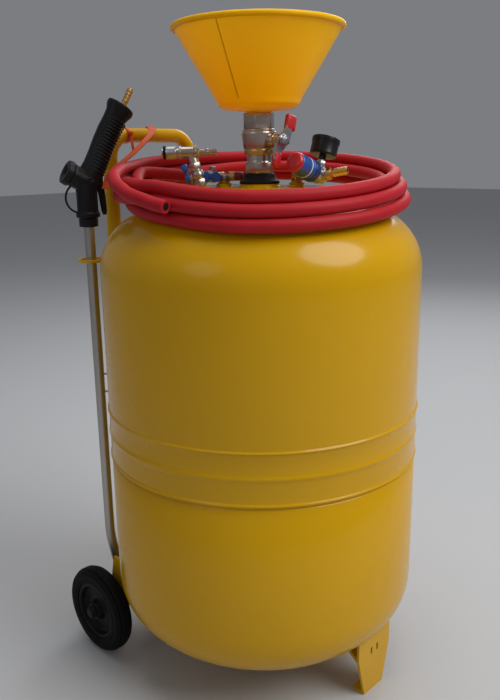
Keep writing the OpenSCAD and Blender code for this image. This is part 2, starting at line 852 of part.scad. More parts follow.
module foot_plate() {
    a = foot_w / 2;
    b = foot_toe_w / 2;
    corner = 5;
    color(YELLOW) translate([foot_off, 0, 0]) difference() {
        union() {
            translate([0, -foot_y, 0]) rotate([90, 0, 0]) linear_extrude(foot_t) polygon([
                [-a, foot_top], [-a, foot_h], [-b, corner / 2], [-b, 0],
                [b, 0], [b, corner / 2], [a, foot_h], [a, foot_top]]);
            translate([0, -foot_y - foot_t, 0]) linear_extrude(foot_t) polygon([
                [-b, 0], [b, 0], [b, lip_l - corner], [b - corner, lip_l],
                [corner - b, lip_l], [-b, lip_l - corner]]);
        }
        translate([-foot_off, 0, 0]) tank_solid();
        for (s = [-1, 1]) for (z = [-1, 1])
            translate([s * slot_pitch / 2, -foot_y + e, slot_z + z * (slot_l / 2 - slot_r)])
                rotate([90, 0, 0]) cylinder(r = slot_r, h = foot_t + 2 * e);
        for (s = [-1, 1])
            translate([s * slot_pitch / 2 - slot_r, -foot_y - foot_t - e,
                       slot_z - slot_l / 2 + slot_r])
                cube([2 * slot_r, foot_t + 2 * e, slot_l - 2 * slot_r]);
    }
}

// Flat bar from the back of the foot plate up to the bottom of the tank
module foot_brace() {
    lean = 38;
    l = 90;
    color(YELLOW) difference() {
        translate([foot_off, -foot_y - foot_t / 2, 24]) rotate([lean, 0, 0])
            translate([-14, 0, 0]) cube([28, l, 5]);
        tank_solid();
        translate([foot_off - foot_w, -foot_y - 3 * foot_t, -50])
            cube([2 * foot_w, 3 * foot_t, 200]);
    }
}

// ---------- spray gun ----------

// Moulded body: barrel, valve chamber across the grip, leaning grip and a cord
// from the chamber to the collar
module gun_body() {
    n = 7;
    color(BLACK) difference() {
        union() {
            gun_frame() translate([0, 0, z_nut + nut_h]) {
                translate([0, 0, 1]) cylinder(r = 16, h = 7);
                translate([0, 0, 7]) cylinder(r = barrel_r, h = barrel_h - 25);
            }
            grip_frame() {
                sphere(r = 17);
                rotate([0, -90, 0]) cylinder(r = 15, h = boss_l - 8);
                hull() {
                    translate([2, 0, 10]) cylinder(r = grip_r, h = 2, $fn = 32);
                    translate([-1, 0, grip_l * 0.55]) cylinder(r = grip_r, h = 2, $fn = 32);
                }
                hull() {
                    translate([-1, 0, grip_l * 0.55]) cylinder(r = grip_r, h = 2, $fn = 32);
                    translate([1, 0, grip_l * 0.85]) cylinder(r = grip_r - 1, h = 2, $fn = 32);
                }
                hull() {
                    translate([1, 0, grip_l * 0.85]) cylinder(r = grip_r - 1, h = 2, $fn = 32);
                    translate([2, 0, grip_l * 0.95]) cylinder(r = grip_r + 4, h = 8, $fn = 32);
                }
                for (i = [0 : n]) translate([4, 0, 22 + i * 7]) cylinder(r = grip_r - 1.6, h = 3);
            }
            gun_frame() translate([trigger_pin[0] - 4, 0, z_joint + trigger_pin[1]])
                rotate([90, 0, 0]) cylinder(r = 10, h = 20, center = true);
            gun_frame() translate([-8, 0, z_joint - 22]) rotate([90, 0, 0])
                rotate([0, 0, 125]) rotate_extrude(angle = 132, $fn = 48)
                    translate([20, 0]) circle(r = 1.6, $fn = 16);
        }
        gun_frame() translate([0, 0, z_nut]) cylinder(r = lance_r, h = nut_h + 20);
        gun_frame() translate([trigger_pin[0] - 7, -slot_t / 2, z_joint - 60])
            cube([30, slot_t, 80]);
        gun_frame() translate([trigger_pin[0], 0, z_joint + trigger_pin[1]])
            rotate([90, 0, 0]) cylinder(r = pin_r + fit, h = 40, center = true);
    }
}

// Round cap on the end of the valve chamber, with a recess
module gun_cap() {
    color([0.1, 0.1, 0.11]) grip_frame() rotate([0, -90, 0]) translate([0, 0, boss_l - 8])
        difference() {
            cylinder(r1 = 16.5, r2 = 15.5, h = 9);
            translate([0, 0, 4]) cylinder(r = 6, h = 6);
        }
}

module gun_nut() {
    color(BLACK) gun_frame() translate([0, 0, z_nut]) difference() {
        cylinder(r = 12.5, h = nut_h + 1);
        translate([0, 0, -e]) cylinder(r = lance_r, h = nut_h + 2);
    }
}

module gun_barb() {
    color(BRASS) grip_frame() translate([6, 0, grip_l * 0.95 + 8]) {
        hexagon(6.5, 3);
        translate([0, 0, 3 - e]) barb(barb_r, 25, 2.6);
    }
}

// Trigger on its pin
module gun_trigger() {
    t = slot_t - 1;
    x = trigger_pin[0];
    z = z_joint + trigger_pin[1];
    color([0.1, 0.1, 0.11]) gun_frame() {
        translate([x, 0, z]) rotate([90, 0, 0]) cylinder(r = pin_r, h = 20, center = true);
        hull() {
            translate([x, 0, z]) rotate([90, 0, 0]) cylinder(r = 4.5, h = t, center = true, $fn = 32);
            translate([x + 8, 0, z - 22]) rotate([90, 0, 0])
                cylinder(r = 3, h = t, center = true, $fn = 32);
        }
        hull() {
            translate([x + 8, 0, z - 22]) rotate([90, 0, 0])
                cylinder(r = 3, h = t, center = true, $fn = 32);
            translate([x + 11, 0, z - 46]) rotate([90, 0, 0])
                cylinder(r = 3, h = t, center = true, $fn = 32);
        }
    }
}

module lance_tube() {
    top = z_nut + nut_h + 14;
    color(NICKEL) translate([lance_at[0], lance_at[1], 0]) {
        translate([0, 0, z_bend]) cylinder(r = lance_r, h = top - z_bend);
        translate([0, 0, z_bend]) sphere(r = lance_r);
        translate([0, 0, z_bend]) rotate([0, 0, lance_az]) rotate([180, 0, 0])
            rotate([0, -tip_lean, 0]) cylinder(r = lance_r - 0.5, h = tip_l - nozzle_l);
    }
}

module lance_nozzle() {
    color(BLACK) translate([lance_at[0], lance_at[1], z_bend]) rotate([0, 0, lance_az])
        rotate([180, 0, 0]) rotate([0, -tip_lean, 0]) translate([0, 0, tip_l - nozzle_l])
            difference() {
                union() {
                    cylinder(r = lance_r + 2, h = 14);
                    translate([0, 0, 14])
                        cylinder(r1 = lance_r + 2, r2 = lance_r - 2, h = nozzle_l - 14);
                }
                translate([0, 0, 6]) cylinder(r = 2, h = nozzle_l);
            }
}

// ---------- hose and strap ----------

module coil_frame() {
    translate([0, 0, coil_z]) rotate([0, 0, coil_az]) rotate([0, -coil_tilt, 0]) children();
}

module hose_coil() {
    step = coil_high - coil_low;
    color(RED) coil_frame() rotate_extrude($fn = 96) {
        for (p = [coil_low, coil_high]) translate(p) circle(r = coil_r, $fn = 32);
        translate(coil_low) rotate(atan2(step[1], step[0]))
            translate([0, -coil_r]) square([norm(step), 2 * coil_r]);
    }
}

function unit(v) = v / norm(v);
function heading(p, i) = unit(p[min(i + 1, len(p) - 1)] - p[max(i - 1, 0)]);
function ring_at(p, i, r, n) =
    let (t = heading(p, i), u = unit(cross(t, [0, 0, 1])), v = cross(u, t))
    [for (k = [0 : n - 1]) p[i] + r * (u * cos(360 * k / n) + v * sin(360 * k / n))];

module swept_tube(p, r, n) {
    rings = len(p);
    polyhedron(
        points = [for (i = [0 : rings - 1]) each ring_at(p, i, r, n)],
        faces = concat(
            [[for (k = [n - 1 : -1 : 0]) k]],
            [for (i = [0 : rings - 2]) for (k = [0 : n - 1])
                [i * n + k, i * n + (k + 1) % n, (i + 1) * n + (k + 1) % n, (i + 1) * n + k]],
            [[for (k = [0 : n - 1]) (rings - 1) * n + k]]));
}

module hose_lead() {
    color(RED) translate([0, 0, z_top]) swept_tube(lead_route, hose_d / 2, lead_sides);
}

// Flat strap that holds the back of the coil up: a loop round the grip, a band
// down to the coil and a loop round the coil
module hose_strap() {
    top = [strap_x, handle_y, handle_z];
    low = strap_low;
    az = atan2(low[1] - top[1], low[0] - top[0]);
    half = strap_w / 2;
    color([0.95, 0.3, 0.08]) {
        difference() {
            union() {
                translate(top) rotate([0, 90, 0])
                    cylinder(r = tube_r + strap_t, h = strap_w, center = true);
                hull() for (p = [top + [0, -tube_r, 4], low]) translate(p)
                    rotate([0, 0, az]) cube([strap_t, strap_w, strap_t], center = true);
            }
            translate(top) rotate([0, 90, 0]) cylinder(r = tube_r, h = 4 * half, center = true);
        }
    }
}

tank_upper_shell();
tank_belt();
tank_lower_shell();
tank_sockets();
dip_tube();
filler_gasket();
valve_body();
valve_end_cap();
valve_band();
valve_seats();
stem_gland();
valve_ball();
valve_stem();
handle_plate();
handle_caps();
funnel();
inlet_riser();
inlet_ball();
inlet_lever();
coupler_body();
coupler_sleeve();
mix_valve_body();
mix_ball();
mix_lever();
blank_plug();
safety_valve();
safety_pull();
hose_barbs();
regulator_elbow();
regulator_body();
regulator_bonnet();
regulator_knob();
knob_cap();
gauge_case();
gauge_dial();
gauge_needle();
gauge_lens();
handle_tube();
handle_tabs();
lance_hooks();
wheel_brackets();
axle();
axle_fasteners();
hub_left();
tyre_left();
hub_right();
tyre_right();
foot_plate();
foot_brace();
gun_body();
gun_cap();
gun_nut();
gun_barb();
gun_trigger();
lance_tube();
lance_nozzle();
hose_coil();
hose_lead();
hose_strap();
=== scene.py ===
import bpy
import bmesh
import json
from math import atan2, cos, hypot, pi, radians, sin
from mathutils import Matrix, Vector


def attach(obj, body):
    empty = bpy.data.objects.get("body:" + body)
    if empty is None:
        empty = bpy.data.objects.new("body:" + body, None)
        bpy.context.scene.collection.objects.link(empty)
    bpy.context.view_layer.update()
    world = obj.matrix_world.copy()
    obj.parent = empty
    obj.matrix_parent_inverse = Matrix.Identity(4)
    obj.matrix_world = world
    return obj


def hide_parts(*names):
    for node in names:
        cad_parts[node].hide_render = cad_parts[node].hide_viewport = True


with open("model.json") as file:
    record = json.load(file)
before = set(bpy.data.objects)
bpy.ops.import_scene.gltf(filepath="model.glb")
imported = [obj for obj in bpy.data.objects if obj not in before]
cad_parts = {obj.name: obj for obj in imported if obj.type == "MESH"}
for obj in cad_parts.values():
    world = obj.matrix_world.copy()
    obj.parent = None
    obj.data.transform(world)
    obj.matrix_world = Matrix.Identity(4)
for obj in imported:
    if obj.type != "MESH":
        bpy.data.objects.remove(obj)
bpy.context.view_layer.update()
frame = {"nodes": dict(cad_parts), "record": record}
MM = 0.001

# ---------- camera, light and floor ----------

CAMERA_AT = (-0.7714, -0.7197, 0.760)
CAMERA_AZ, CAMERA_DIP, CAMERA_ROLL = 43.94, 14.73, -0.90

camera = bpy.data.objects.new("camera", bpy.data.cameras.new("camera"))
camera.data.lens = 38.16
camera.data.sensor_width = 36
camera.data.clip_start, camera.data.clip_end = 0.01, 50
camera.matrix_world = (
    Matrix.Translation(CAMERA_AT)
    @ Matrix.Rotation(radians(CAMERA_AZ - 90), 4, "Z")
    @ Matrix.Rotation(radians(90 - CAMERA_DIP), 4, "X")
    @ Matrix.Rotation(radians(CAMERA_ROLL), 4, "Z")
)
bpy.context.scene.collection.objects.link(camera)
bpy.context.scene.camera = camera
bpy.context.scene.view_settings.view_transform = "Standard"


def lamp(name, place, target, size, watts):
    """A round white lamp that faces a target, in metres."""
    light = bpy.data.objects.new(name, bpy.data.lights.new(name, "AREA"))
    light.data.shape = "DISK"
    light.data.size = size
    light.data.energy = watts
    light.location = place
    light.rotation_euler = (Vector(target) - Vector(place)).to_track_quat("-Z", "Y").to_euler()
    bpy.context.scene.collection.objects.link(light)


lamp("key", (0.7, -2.5, 3.0), (-0.05, 0, 0.6), 2.6, 84)
lamp("side", (-2.7, -0.1, 1.9), (0, 0, 0.4), 1.3, 3.5)
lamp("top", (0.3, 0.2, 3.0), (0, 0, 0.6), 2.4, 28)
lamp("back", (2.4, 1.0, 2.0), (0, 0, 0.5), 1.6, 16)

world = bpy.data.worlds.new("studio")
world.use_nodes = True
world.node_tree.nodes["Background"].inputs["Color"].default_value = (0.9, 0.93, 1.0, 1)
world.node_tree.nodes["Background"].inputs["Strength"].default_value = 0.22
bpy.context.scene.world = world

# ---------- finishes ----------


class Value:
    """A shader socket that takes part in plain arithmetic."""

    def __init__(self, finish, socket):
        self.finish, self.socket = finish, socket

    def do(self, operation, a, b):
        return self.finish.node("Math", {"operation": operation}, {0: a, 1: b})

    def __add__(self, other):
        return self.do("ADD", self, other)

    def __radd__(self, other):
        return self.do("ADD", other, self)

    def __sub__(self, other):
        return self.do("SUBTRACT", self, other)

    def __rsub__(self, other):
        return self.do("SUBTRACT", other, self)

    def __mul__(self, other):
        return self.do("MULTIPLY", self, other)

    def __rmul__(self, other):
        return self.do("MULTIPLY", other, self)

    def __gt__(self, other):
        return self.do("GREATER_THAN", self, other)


class Finish:
    """A material of one slot, with the constants of its surface set on the shader."""

    def __init__(self, slot, colour, rough, metal=0.0, **constants):
        self.slot = slot
        self.material = bpy.data.materials.new(slot)
        self.material.use_nodes = True
        self.tree = self.material.node_tree
        self.shader = self.tree.nodes["Principled BSDF"]
        self.set("Base Color", (*colour, 1) if len(colour) == 3 else colour)
        self.set("Roughness", rough)
        self.set("Metallic", metal)
        for name, value in constants.items():
            self.set(name.replace("_", " "), value)

    def set(self, name, value):
        self.put(self.shader.inputs[name], value)

    def put(self, socket, value):
        if isinstance(value, Value):
            self.tree.links.new(value.socket, socket)
        else:
            socket.default_value = value

    def node(self, kind, settings, inputs, output=0):
        made = self.tree.nodes.new("ShaderNode" + kind)
        for name, value in settings.items():
            setattr(made, name, value)
        for name, value in inputs.items():
            self.put(made.inputs[name], value)
        return Value(self, made.outputs[output])

    def place(self):
        return self.node("TexCoord", {}, {}, "Object")

    def stretched(self, x, y, z):
        return self.node("VectorMath", {"operation": "MULTIPLY"}, {0: self.place(), 1: (x, y, z)})

    def noise(self, scale, detail=3.0, where=None):
        return self.node("TexNoise", {}, {"Vector": where or self.place(), "Scale": scale,
                                          "Detail": detail})

    def blend(self, amount, a, b):
        return self.node("Mix", {"data_type": "RGBA"}, {0: amount, 6: (*a, 1), 7: (*b, 1)}, 2)

    def relief(self, height, depth, strength=1.0):
        self.set("Normal", self.node("Bump", {}, {"Height": height, "Distance": depth,
                                                  "Strength": strength}))


def yellow_paint():
    f = Finish("yellow_paint", (0.74, 0.4, 0.0), 0.26, Coat_Weight=0.35, Coat_Roughness=0.13,
               Specular_IOR_Level=0.12)
    cloud = f.noise(4.5, 4)
    f.set("Base Color", f.blend(cloud, (0.72, 0.39, 0.0), (0.63, 0.33, 0.0)))
    scuff = f.noise(38, 6) > 0.64
    f.set("Roughness", 0.2 + cloud * 0.1 + scuff * 0.06)
    f.relief(f.noise(170, 2) + f.noise(26, 2) * 1.5, 0.00022, 0.35)
    return f


def orange_plastic():
    f = Finish("orange_plastic", (0.96, 0.42, 0.0), 0.36, Subsurface_Weight=0.55,
               Subsurface_Scale=0.015, Subsurface_Radius=(1.0, 0.75, 0.1), Specular_IOR_Level=0.14)
    flow = f.noise(9, 5, f.stretched(1, 1, 0.25))
    f.set("Base Color", f.blend(flow, (1.0, 0.5, 0.0), (0.94, 0.42, 0.0)))
    f.set("Roughness", 0.28 + flow * 0.14)
    f.relief(f.noise(420, 2), 0.00008, 0.4)
    return f


def plated(slot, light, dark, rough, scale):
    f = Finish(slot, light, rough, 1.0)
    cloud = f.noise(scale, 6)
    f.set("Base Color", f.blend(cloud, dark, light))
    f.set("Roughness", rough - 0.05 + cloud * 0.16)
    f.relief(f.noise(scale * 14, 3), 0.00012, 0.35)
    return f


def stainless_tube():
    f = Finish("stainless_tube", (0.5, 0.48, 0.44), 0.36, 1.0)
    drawn = f.noise(420, 3, f.stretched(1, 1, 0.03))
    f.set("Base Color", f.blend(drawn, (0.38, 0.35, 0.31), (0.55, 0.53, 0.5)))
    f.set("Roughness", 0.3 + drawn * 0.16)
    f.relief(drawn, 0.00006, 0.3)
    return f


def moulded(slot, colour, other, rough, grain, depth, **constants):
    f = Finish(slot, colour, rough, **constants)
    cloud = f.noise(32, 4)
    f.set("Base Color", f.blend(cloud, colour, other))
    f.set("Roughness", rough - 0.04 + cloud * 0.12)
    f.relief(f.noise(grain, 2), depth, 0.5)
    return f


HOSE_WEAVE = 21000.0     # phase of the woven pattern over the hose's whole length, in radians


def hose_rubber():
    f = Finish("hose_rubber", (0.42, 0.012, 0.035), 0.5, Specular_IOR_Level=0.2)
    along = f.node("SeparateXYZ", {}, {0: f.node("UVMap", {"uv_map": "UVMap"}, {})})
    around = Value(f, along.socket.node.outputs[1])
    wave = f.node("Math", {"operation": "SINE"}, {0: along * HOSE_WEAVE + around * 25.0, 1: 0.0})
    weft = f.node("Math", {"operation": "SINE"}, {0: along * HOSE_WEAVE - around * 25.0, 1: 0.0})
    cloth = wave * weft
    dust = f.noise(55, 5)
    f.set("Base Color", f.blend(dust, (0.4, 0.008, 0.013), (0.5, 0.014, 0.022)))
    f.set("Roughness", 0.46 + dust * 0.14 + cloth * 0.03)
    f.relief(cloth * 0.35 + f.noise(700, 2), 0.00014, 0.5)
    return f


YELLOW = yellow_paint()
FUNNEL = orange_plastic()
NICKEL = plated("nickel_plate", (0.66, 0.61, 0.54), (0.36, 0.29, 0.22), 0.26, 40)
BRASS = plated("brass", (0.78, 0.54, 0.22), (0.5, 0.32, 0.12), 0.28, 60)
ZINC = plated("zinc_plate", (0.62, 0.65, 0.68), (0.38, 0.4, 0.42), 0.28, 50)
STEEL = stainless_tube()
SEAL = moulded("seal_plastic", (0.85, 0.85, 0.82), (0.8, 0.8, 0.76), 0.4, 500, 0.0001)
RUBBER = moulded("black_rubber", (0.006, 0.006, 0.007), (0.013, 0.013, 0.014), 0.55, 350, 0.0002,
                 Specular_IOR_Level=0.14)
TYRE = moulded("tyre_rubber", (0.003, 0.003, 0.0035), (0.009, 0.009, 0.009), 0.6, 240, 0.0003,
              Specular_IOR_Level=0.1)
HUB = moulded("hub_plastic", (0.004, 0.004, 0.0045), (0.011, 0.011, 0.012), 0.42, 500, 0.0002,
              Specular_IOR_Level=0.14)
RED = moulded("red_plastic", (0.52, 0.008, 0.014), (0.6, 0.014, 0.02), 0.3, 300, 0.0001,
              Coat_Weight=0.3, Coat_Roughness=0.2)
DARK_RED = moulded("dark_red_plastic", (0.16, 0.006, 0.012), (0.22, 0.01, 0.02), 0.35, 300, 0.0001)
BLUE = moulded("blue_plastic", (0.01, 0.075, 0.36), (0.014, 0.1, 0.44), 0.32, 300, 0.0001,
               Coat_Weight=0.2, Coat_Roughness=0.2)
DARK_BLUE = moulded("dark_blue_plastic", (0.006, 0.03, 0.16), (0.01, 0.045, 0.2), 0.3, 300, 0.0001)
GAUGE = moulded("gauge_black", (0.005, 0.005, 0.006), (0.012, 0.012, 0.014), 0.28, 400, 0.0001,
                Specular_IOR_Level=0.35)
DIAL = moulded("gauge_white", (0.8, 0.8, 0.77), (0.74, 0.74, 0.7), 0.5, 400, 0.00005)
NEEDLE = moulded("needle_red", (0.6, 0.02, 0.015), (0.55, 0.02, 0.015), 0.4, 400, 0.00005)
GLASS = Finish("gauge_glass", (0.95, 0.97, 0.98), 0.05, Alpha=0.25, Specular_IOR_Level=0.6)
GUN = moulded("gun_plastic", (0.006, 0.006, 0.007), (0.014, 0.014, 0.016), 0.38, 620, 0.0002,
              Specular_IOR_Level=0.2)
HOSE = hose_rubber()
STRAP = moulded("strap_orange", (0.78, 0.1, 0.012), (0.68, 0.08, 0.01), 0.42, 260, 0.0002)
FINISHES = {f.slot: f for f in (
    YELLOW, FUNNEL, NICKEL, BRASS, ZINC, STEEL, SEAL, RUBBER, TYRE, HUB, RED, DARK_RED, BLUE,
    DARK_BLUE, GAUGE, DIAL, NEEDLE, GLASS, GUN, HOSE, STRAP)}

for part in frame["record"]["subparts"]:
    mesh = frame["nodes"][part["node"]].data
    mesh.materials.clear()
    mesh.materials.append(FINISHES[part["material_slot"]].material)

# ---------- ways of making pieces ----------


def turn(angle, axis):
    """A rotation by an angle in degrees."""
    return Matrix.Rotation(radians(angle), 4, axis)


def shift(x, y, z):
    """A move by a distance in millimetres."""
    return Matrix.Translation((x * MM, y * MM, z * MM))


def piece(name, shape, finish, body, stands_for=(), place=Matrix(), crease=35):
    """An object made of a shape at its place; it rides on a body and may stand for CAD nodes."""
    bmesh.ops.transform(shape, matrix=place, verts=shape.verts)
    mesh = bpy.data.meshes.new(name)
    shape.to_mesh(mesh)
    shape.free()
    return put(name, mesh, finish, body, stands_for, crease)


def put(name, mesh, finish, body, stands_for=(), crease=35):
    """An object made of a finished mesh, smooth but for edges sharper than the crease angle."""
    mesh.shade_smooth()
    mesh.set_sharp_from_angle(angle=radians(crease))
    made = bpy.data.objects.new(name, mesh)
    bpy.context.scene.collection.objects.link(made)
    mesh.materials.clear()
    mesh.materials.append(finish.material)
    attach(made, body)
    if stands_for:
        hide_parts(*stands_for)
    return made


def eased(profile, radius, steps=4):
    """The closed profile with its corners rounded, no more than its sides allow."""
    out = []
    for i, here in enumerate(profile):
        before, after = Vector(profile[i - 1]), Vector(profile[(i + 1) % len(profile)])
        here = Vector(here)
        a, b = before - here, after - here
        if min(a.length, b.length) < 1e-6 or here[0] < 1e-6:
            out.append(tuple(here))
            continue
        r = min(radius, a.length * 0.45, b.length * 0.45)
        start, end = here + a.normalized() * r, here + b.normalized() * r
        for k in range(steps + 1):
            t = k / steps
            out.append(tuple(start * (1 - t) ** 2 + here * 2 * t * (1 - t) + end * t ** 2))
    return out


def lathe(profile, ease=0.6, steps=64):
    """A solid of revolution about Z; the profile holds (radius, height) in millimetres."""
    shape = bmesh.new()
    ring = [shape.verts.new((r * MM, 0, z * MM)) for r, z in eased(profile, ease)]
    edges = [shape.edges.new((ring[i - 1], ring[i])) for i in range(len(ring))]
    bmesh.ops.spin(shape, geom=ring + edges, axis=(0, 0, 1), cent=(0, 0, 0), angle=2 * pi,
                   steps=steps, use_merge=True)
    bmesh.ops.remove_doubles(shape, verts=shape.verts, dist=1e-6)
    bmesh.ops.recalc_face_normals(shape, faces=shape.faces)
    return shape


def prism(sides, radius, low, high, bevel=0.7):
    """A many-sided bar along Z between two heights, its radius across corners."""
    shape = bmesh.new()
    bmesh.ops.create_cone(shape, cap_ends=True, segments=sides, radius1=radius * MM,
                          radius2=radius * MM, depth=(high - low) * MM,
                          matrix=shift(0, 0, (low + high) / 2))
    bmesh.ops.bevel(shape, geom=shape.edges[:], offset=bevel * MM, segments=2, profile=0.5,
                    affect="EDGES", material=-1)
    return shape


def block(size, bevel, place=Matrix(), segments=3):
    """A box about its place, with rounded edges."""
    shape = bmesh.new()
    bmesh.ops.create_cube(shape, size=MM)
    bmesh.ops.scale(shape, vec=size, verts=shape.verts)
    bmesh.ops.bevel(shape, geom=shape.edges[:], offset=bevel * MM, segments=segments, profile=0.5,
                    affect="EDGES", material=-1)
    bmesh.ops.transform(shape, matrix=place, verts=shape.verts)
    return shape


def joined(*shapes):
    """One shape from several closed ones."""
    whole = bmesh.new()
    for shape in shapes:
        mesh = bpy.data.meshes.new("part")
        shape.to_mesh(mesh)
        shape.free()
        whole.from_mesh(mesh)
        bpy.data.meshes.remove(mesh)
    return whole


def at(shape, place):
    bmesh.ops.transform(shape, matrix=place, verts=shape.verts)
    return shape


def torus(major, minor, steps=64):
    """A round ring in the XY plane."""
    ring = [(major + minor * cos(pi * k / 8), minor * sin(pi * k / 8)) for k in range(16)]
    return lathe(ring, 0, steps)


def pipe_mesh(name, points, radius, sides=6, closed=False):
    """The mesh of a round pipe along points in metres; its UV map runs along and around."""
    line = bpy.data.curves.new(name, "CURVE")
    line.dimensions = "3D"
    line.bevel_depth = radius * MM
    line.bevel_resolution = sides
    line.use_fill_caps = True
    spline = line.splines.new("POLY")
    spline.points.add(len(points) - 1)
    for point, where in zip(spline.points, points):
        point.co = (*where, 1)
    spline.use_cyclic_u = closed
    holder = bpy.data.objects.new(name, line)
    bpy.context.scene.collection.objects.link(holder)
    bpy.context.view_layer.update()
    mesh = bpy.data.meshes.new_from_object(
        holder.evaluated_get(bpy.context.evaluated_depsgraph_get()))
    bpy.data.objects.remove(holder)
    return mesh


def pipe(name, points, radius, finish, body, stands_for=(), sides=6):
    return put(name, pipe_mesh(name, points, radius, sides), finish, body, stands_for, 60)


def arc(centre, a, b, start, end, steps=12):
    """Points on a circle; a and b are its half axes, angles in degrees."""
    c, a, b = Vector(centre), Vector(a), Vector(b)
    return [c + a * cos(radians(t)) + b * sin(radians(t))
            for t in (start + (end - start) * k / steps for k in range(steps + 1))]


# ---------- places, in millimetres ----------

TANK_R, WALL = 225, 2.5
DOME_H, DOME_P = 116, 2.4                # a dome's height and the power that squares its curve
FLOOR_GAP, WALL_H = 39, 446
BELT_UP, BELT_H = 184, 75
Z_LOW = FLOOR_GAP + DOME_H
Z_HIGH = Z_LOW + WALL_H
Z_TOP = Z_HIGH + DOME_H
Z_BELT = Z_LOW + BELT_UP
FILLER_HOLE = 26.5
BORE = 10.5
FIT_AZ = 133                             # the direction in which the air fittings point


def dome_z(d):
    """Height of the upper dome at a distance from the tank's axis."""
    return Z_HIGH + DOME_H * (1 - (d / TANK_R) ** DOME_P) ** (1 / DOME_P)


Z_GASKET = Z_TOP + 4
Z_VALVE = Z_GASKET + 14
Z_BAND = Z_VALVE + 25
Z_HOUSE = Z_BAND + 8
Z_BALL = Z_HOUSE + 10
Z_END = Z_HOUSE + 23
Z_FUNNEL = Z_END + 24
INLET_D = 79                             # the inlet's distance from the tank's axis
INLET = (INLET_D * cos(radians(FIT_AZ)), INLET_D * sin(radians(FIT_AZ)))
MIX, Z_MIX = (-14, 56), Z_TOP + 14
SAFETY = (-46, 84)
REG, Z_REG = (51, -63), Z_TOP + 15
ELBOW = (REG[0], -24)
LANCE = (-147.24, 202.66)
Z_NUT, Z_JOINT, Z_BEND = 663, 726, 169
AXLE_Y, WHEEL_R, WHEEL_X = 174.97, 68, 193
HANDLE_X, HANDLE_Y, HANDLE_Z = 80, 234, Z_TOP + 75
TUBE_R, TUBE_BEND, LEG_END = 11, 34, 430

inlet_place = shift(*INLET, dome_z(INLET_D)) @ turn(FIT_AZ, "Z") @ turn(17, "Y")
coupler_place = turn(FIT_AZ, "Z") @ shift(96, 0, 764.5) @ turn(90, "Y")
stem_place = shift(0, 0, Z_BALL) @ turn(90, "X")
plate_place = shift(0, -42, Z_BALL) @ turn(90, "X")
funnel_place = shift(0, 0, Z_FUNNEL)
mix_place = shift(*MIX, Z_MIX) @ turn(FIT_AZ, "Z")
reg_place = shift(*REG, Z_REG) @ turn(20 - 90, "Y")
gauge_place = reg_place @ turn(90, "Y")
gun_place = shift(*LANCE, 0) @ turn(-17, "Z")
grip_place = gun_place @ shift(0, 0, Z_JOINT) @ turn(28, "Y")

# ---------- hose ----------

COIL_AZ, COIL_TILT = 43, 6.6             # the direction in which the coil rises, and by how much
COIL = shift(0, 0, Z_TOP + 5) @ turn(COIL_AZ, "Z") @ turn(-COIL_TILT, "Y")
HOSE_R, HOSE_STEP = 8.5, 5               # outer radius, and degrees of a turn for each point
SQUEEZE = 8                              # how much nearer the turns lie at the sides
HOSE_LEAD = [
    (-8, 74, 731), (-8, 84, 731), (-8.3, 94, 731), (-10, 104, 731), (-14, 113, 731.3),
    (-21, 123.5, 732), (-30, 133, 733), (-41, 141.5, 734.4), (-53, 149, 736), (-66, 154, 737.2)]
# bearing in degrees, radius and rise of the turns where their lay changes
HOSE_TURNS = [
    (117, 184, 9.8), (150, 172, -2), (180, 172, -2), (223, 180, -2), (300, 178, 2), (403, 176, 0),
    (477, 180, -8), (540, 193, -16.2), (583, 206, -17.5), (660, 206, -17.5), (763, 206, -17.5),
    (837, 206, -16), (900, 193, 1), (943, 200, -1.5), (1020, 200, -1), (1123, 200, -1),
    (1197, 200, 0.5), (1215, 198, 3), (1240, 189, 13), (1260, 187, 17.3), (1303, 191, 13.2),
    (1380, 191, 14), (1483, 191, 14), (1557, 198.5, 18.3), (1575, 202, 20.2), (1590, 207.5, 18.8),
    (1600, 209.5, 14), (1615, 210.5, 7), (1631, 210.5, 1)]


def on_coil(bearing, radius, rise):
    """A point of the coil, which is narrower across the direction in which it rises."""
    angle = radians(bearing - COIL_AZ)
    near = radius - SQUEEZE * sin(angle) ** 2
    return COIL @ (Vector((near * cos(angle), near * sin(angle), rise)) * MM)


def hose_line():
    """The hose's middle line, from its tail through its turns to its free end."""
    line = [Vector(p) * MM for p in HOSE_LEAD]
    for (a, r, h), (b, s, k) in zip(HOSE_TURNS, HOSE_TURNS[1:]):
        steps = max(2, round((b - a) / HOSE_STEP))
        for i in range(steps):
            t = i / steps
            w = t * t * (3 - 2 * t)
            line.append(on_coil(a + (b - a) * t, r + (s - r) * w, h + (k - h) * w))
    return line + [on_coil(*HOSE_TURNS[-1])]


hose_points = hose_line()
hose_length = sum((b - a).length for a, b in zip(hose_points, hose_points[1:]))
hose = pipe("hose", hose_points, HOSE_R, HOSE, "tank", ("hose_coil", "hose_lead"), 7)
tip_way = (hose_points[-1] - hose_points[-2]).normalized()
tip_place = Matrix.Translation(hose_points[-1]) @ tip_way.to_track_quat("Z", "Y").to_matrix().to_4x4()
piece("hose_end_rim", lathe([(4.8, -3), (8.4, -0.5), (8.4, 0.4), (7.9, 0.9), (5.2, 0.9), (4.8, 0.5)],
                            0.2), HOSE, "tank", place=tip_place)
# a black disc across the hose's open end: painted shade standing in for the dark hollow inside the bore
piece("hose_end_bore_shade", lathe([(0, -0.2), (5.0, -0.2), (5.0, 0.5), (0, 0.5)], 0), RUBBER, "tank",
      place=tip_place)

# ---------- tank ----------


def dome_profile(radius, height, base, sign, steps=40):
    """Points from the rim of a dome to its pole."""
    return [(max(radius * cos(pi * k / 2 / steps), 0) ** (2 / DOME_P) * radius ** (1 - 2 / DOME_P),
             base + sign * height * sin(pi * k / 2 / steps) ** (2 / DOME_P))
            for k in range(steps + 1)]


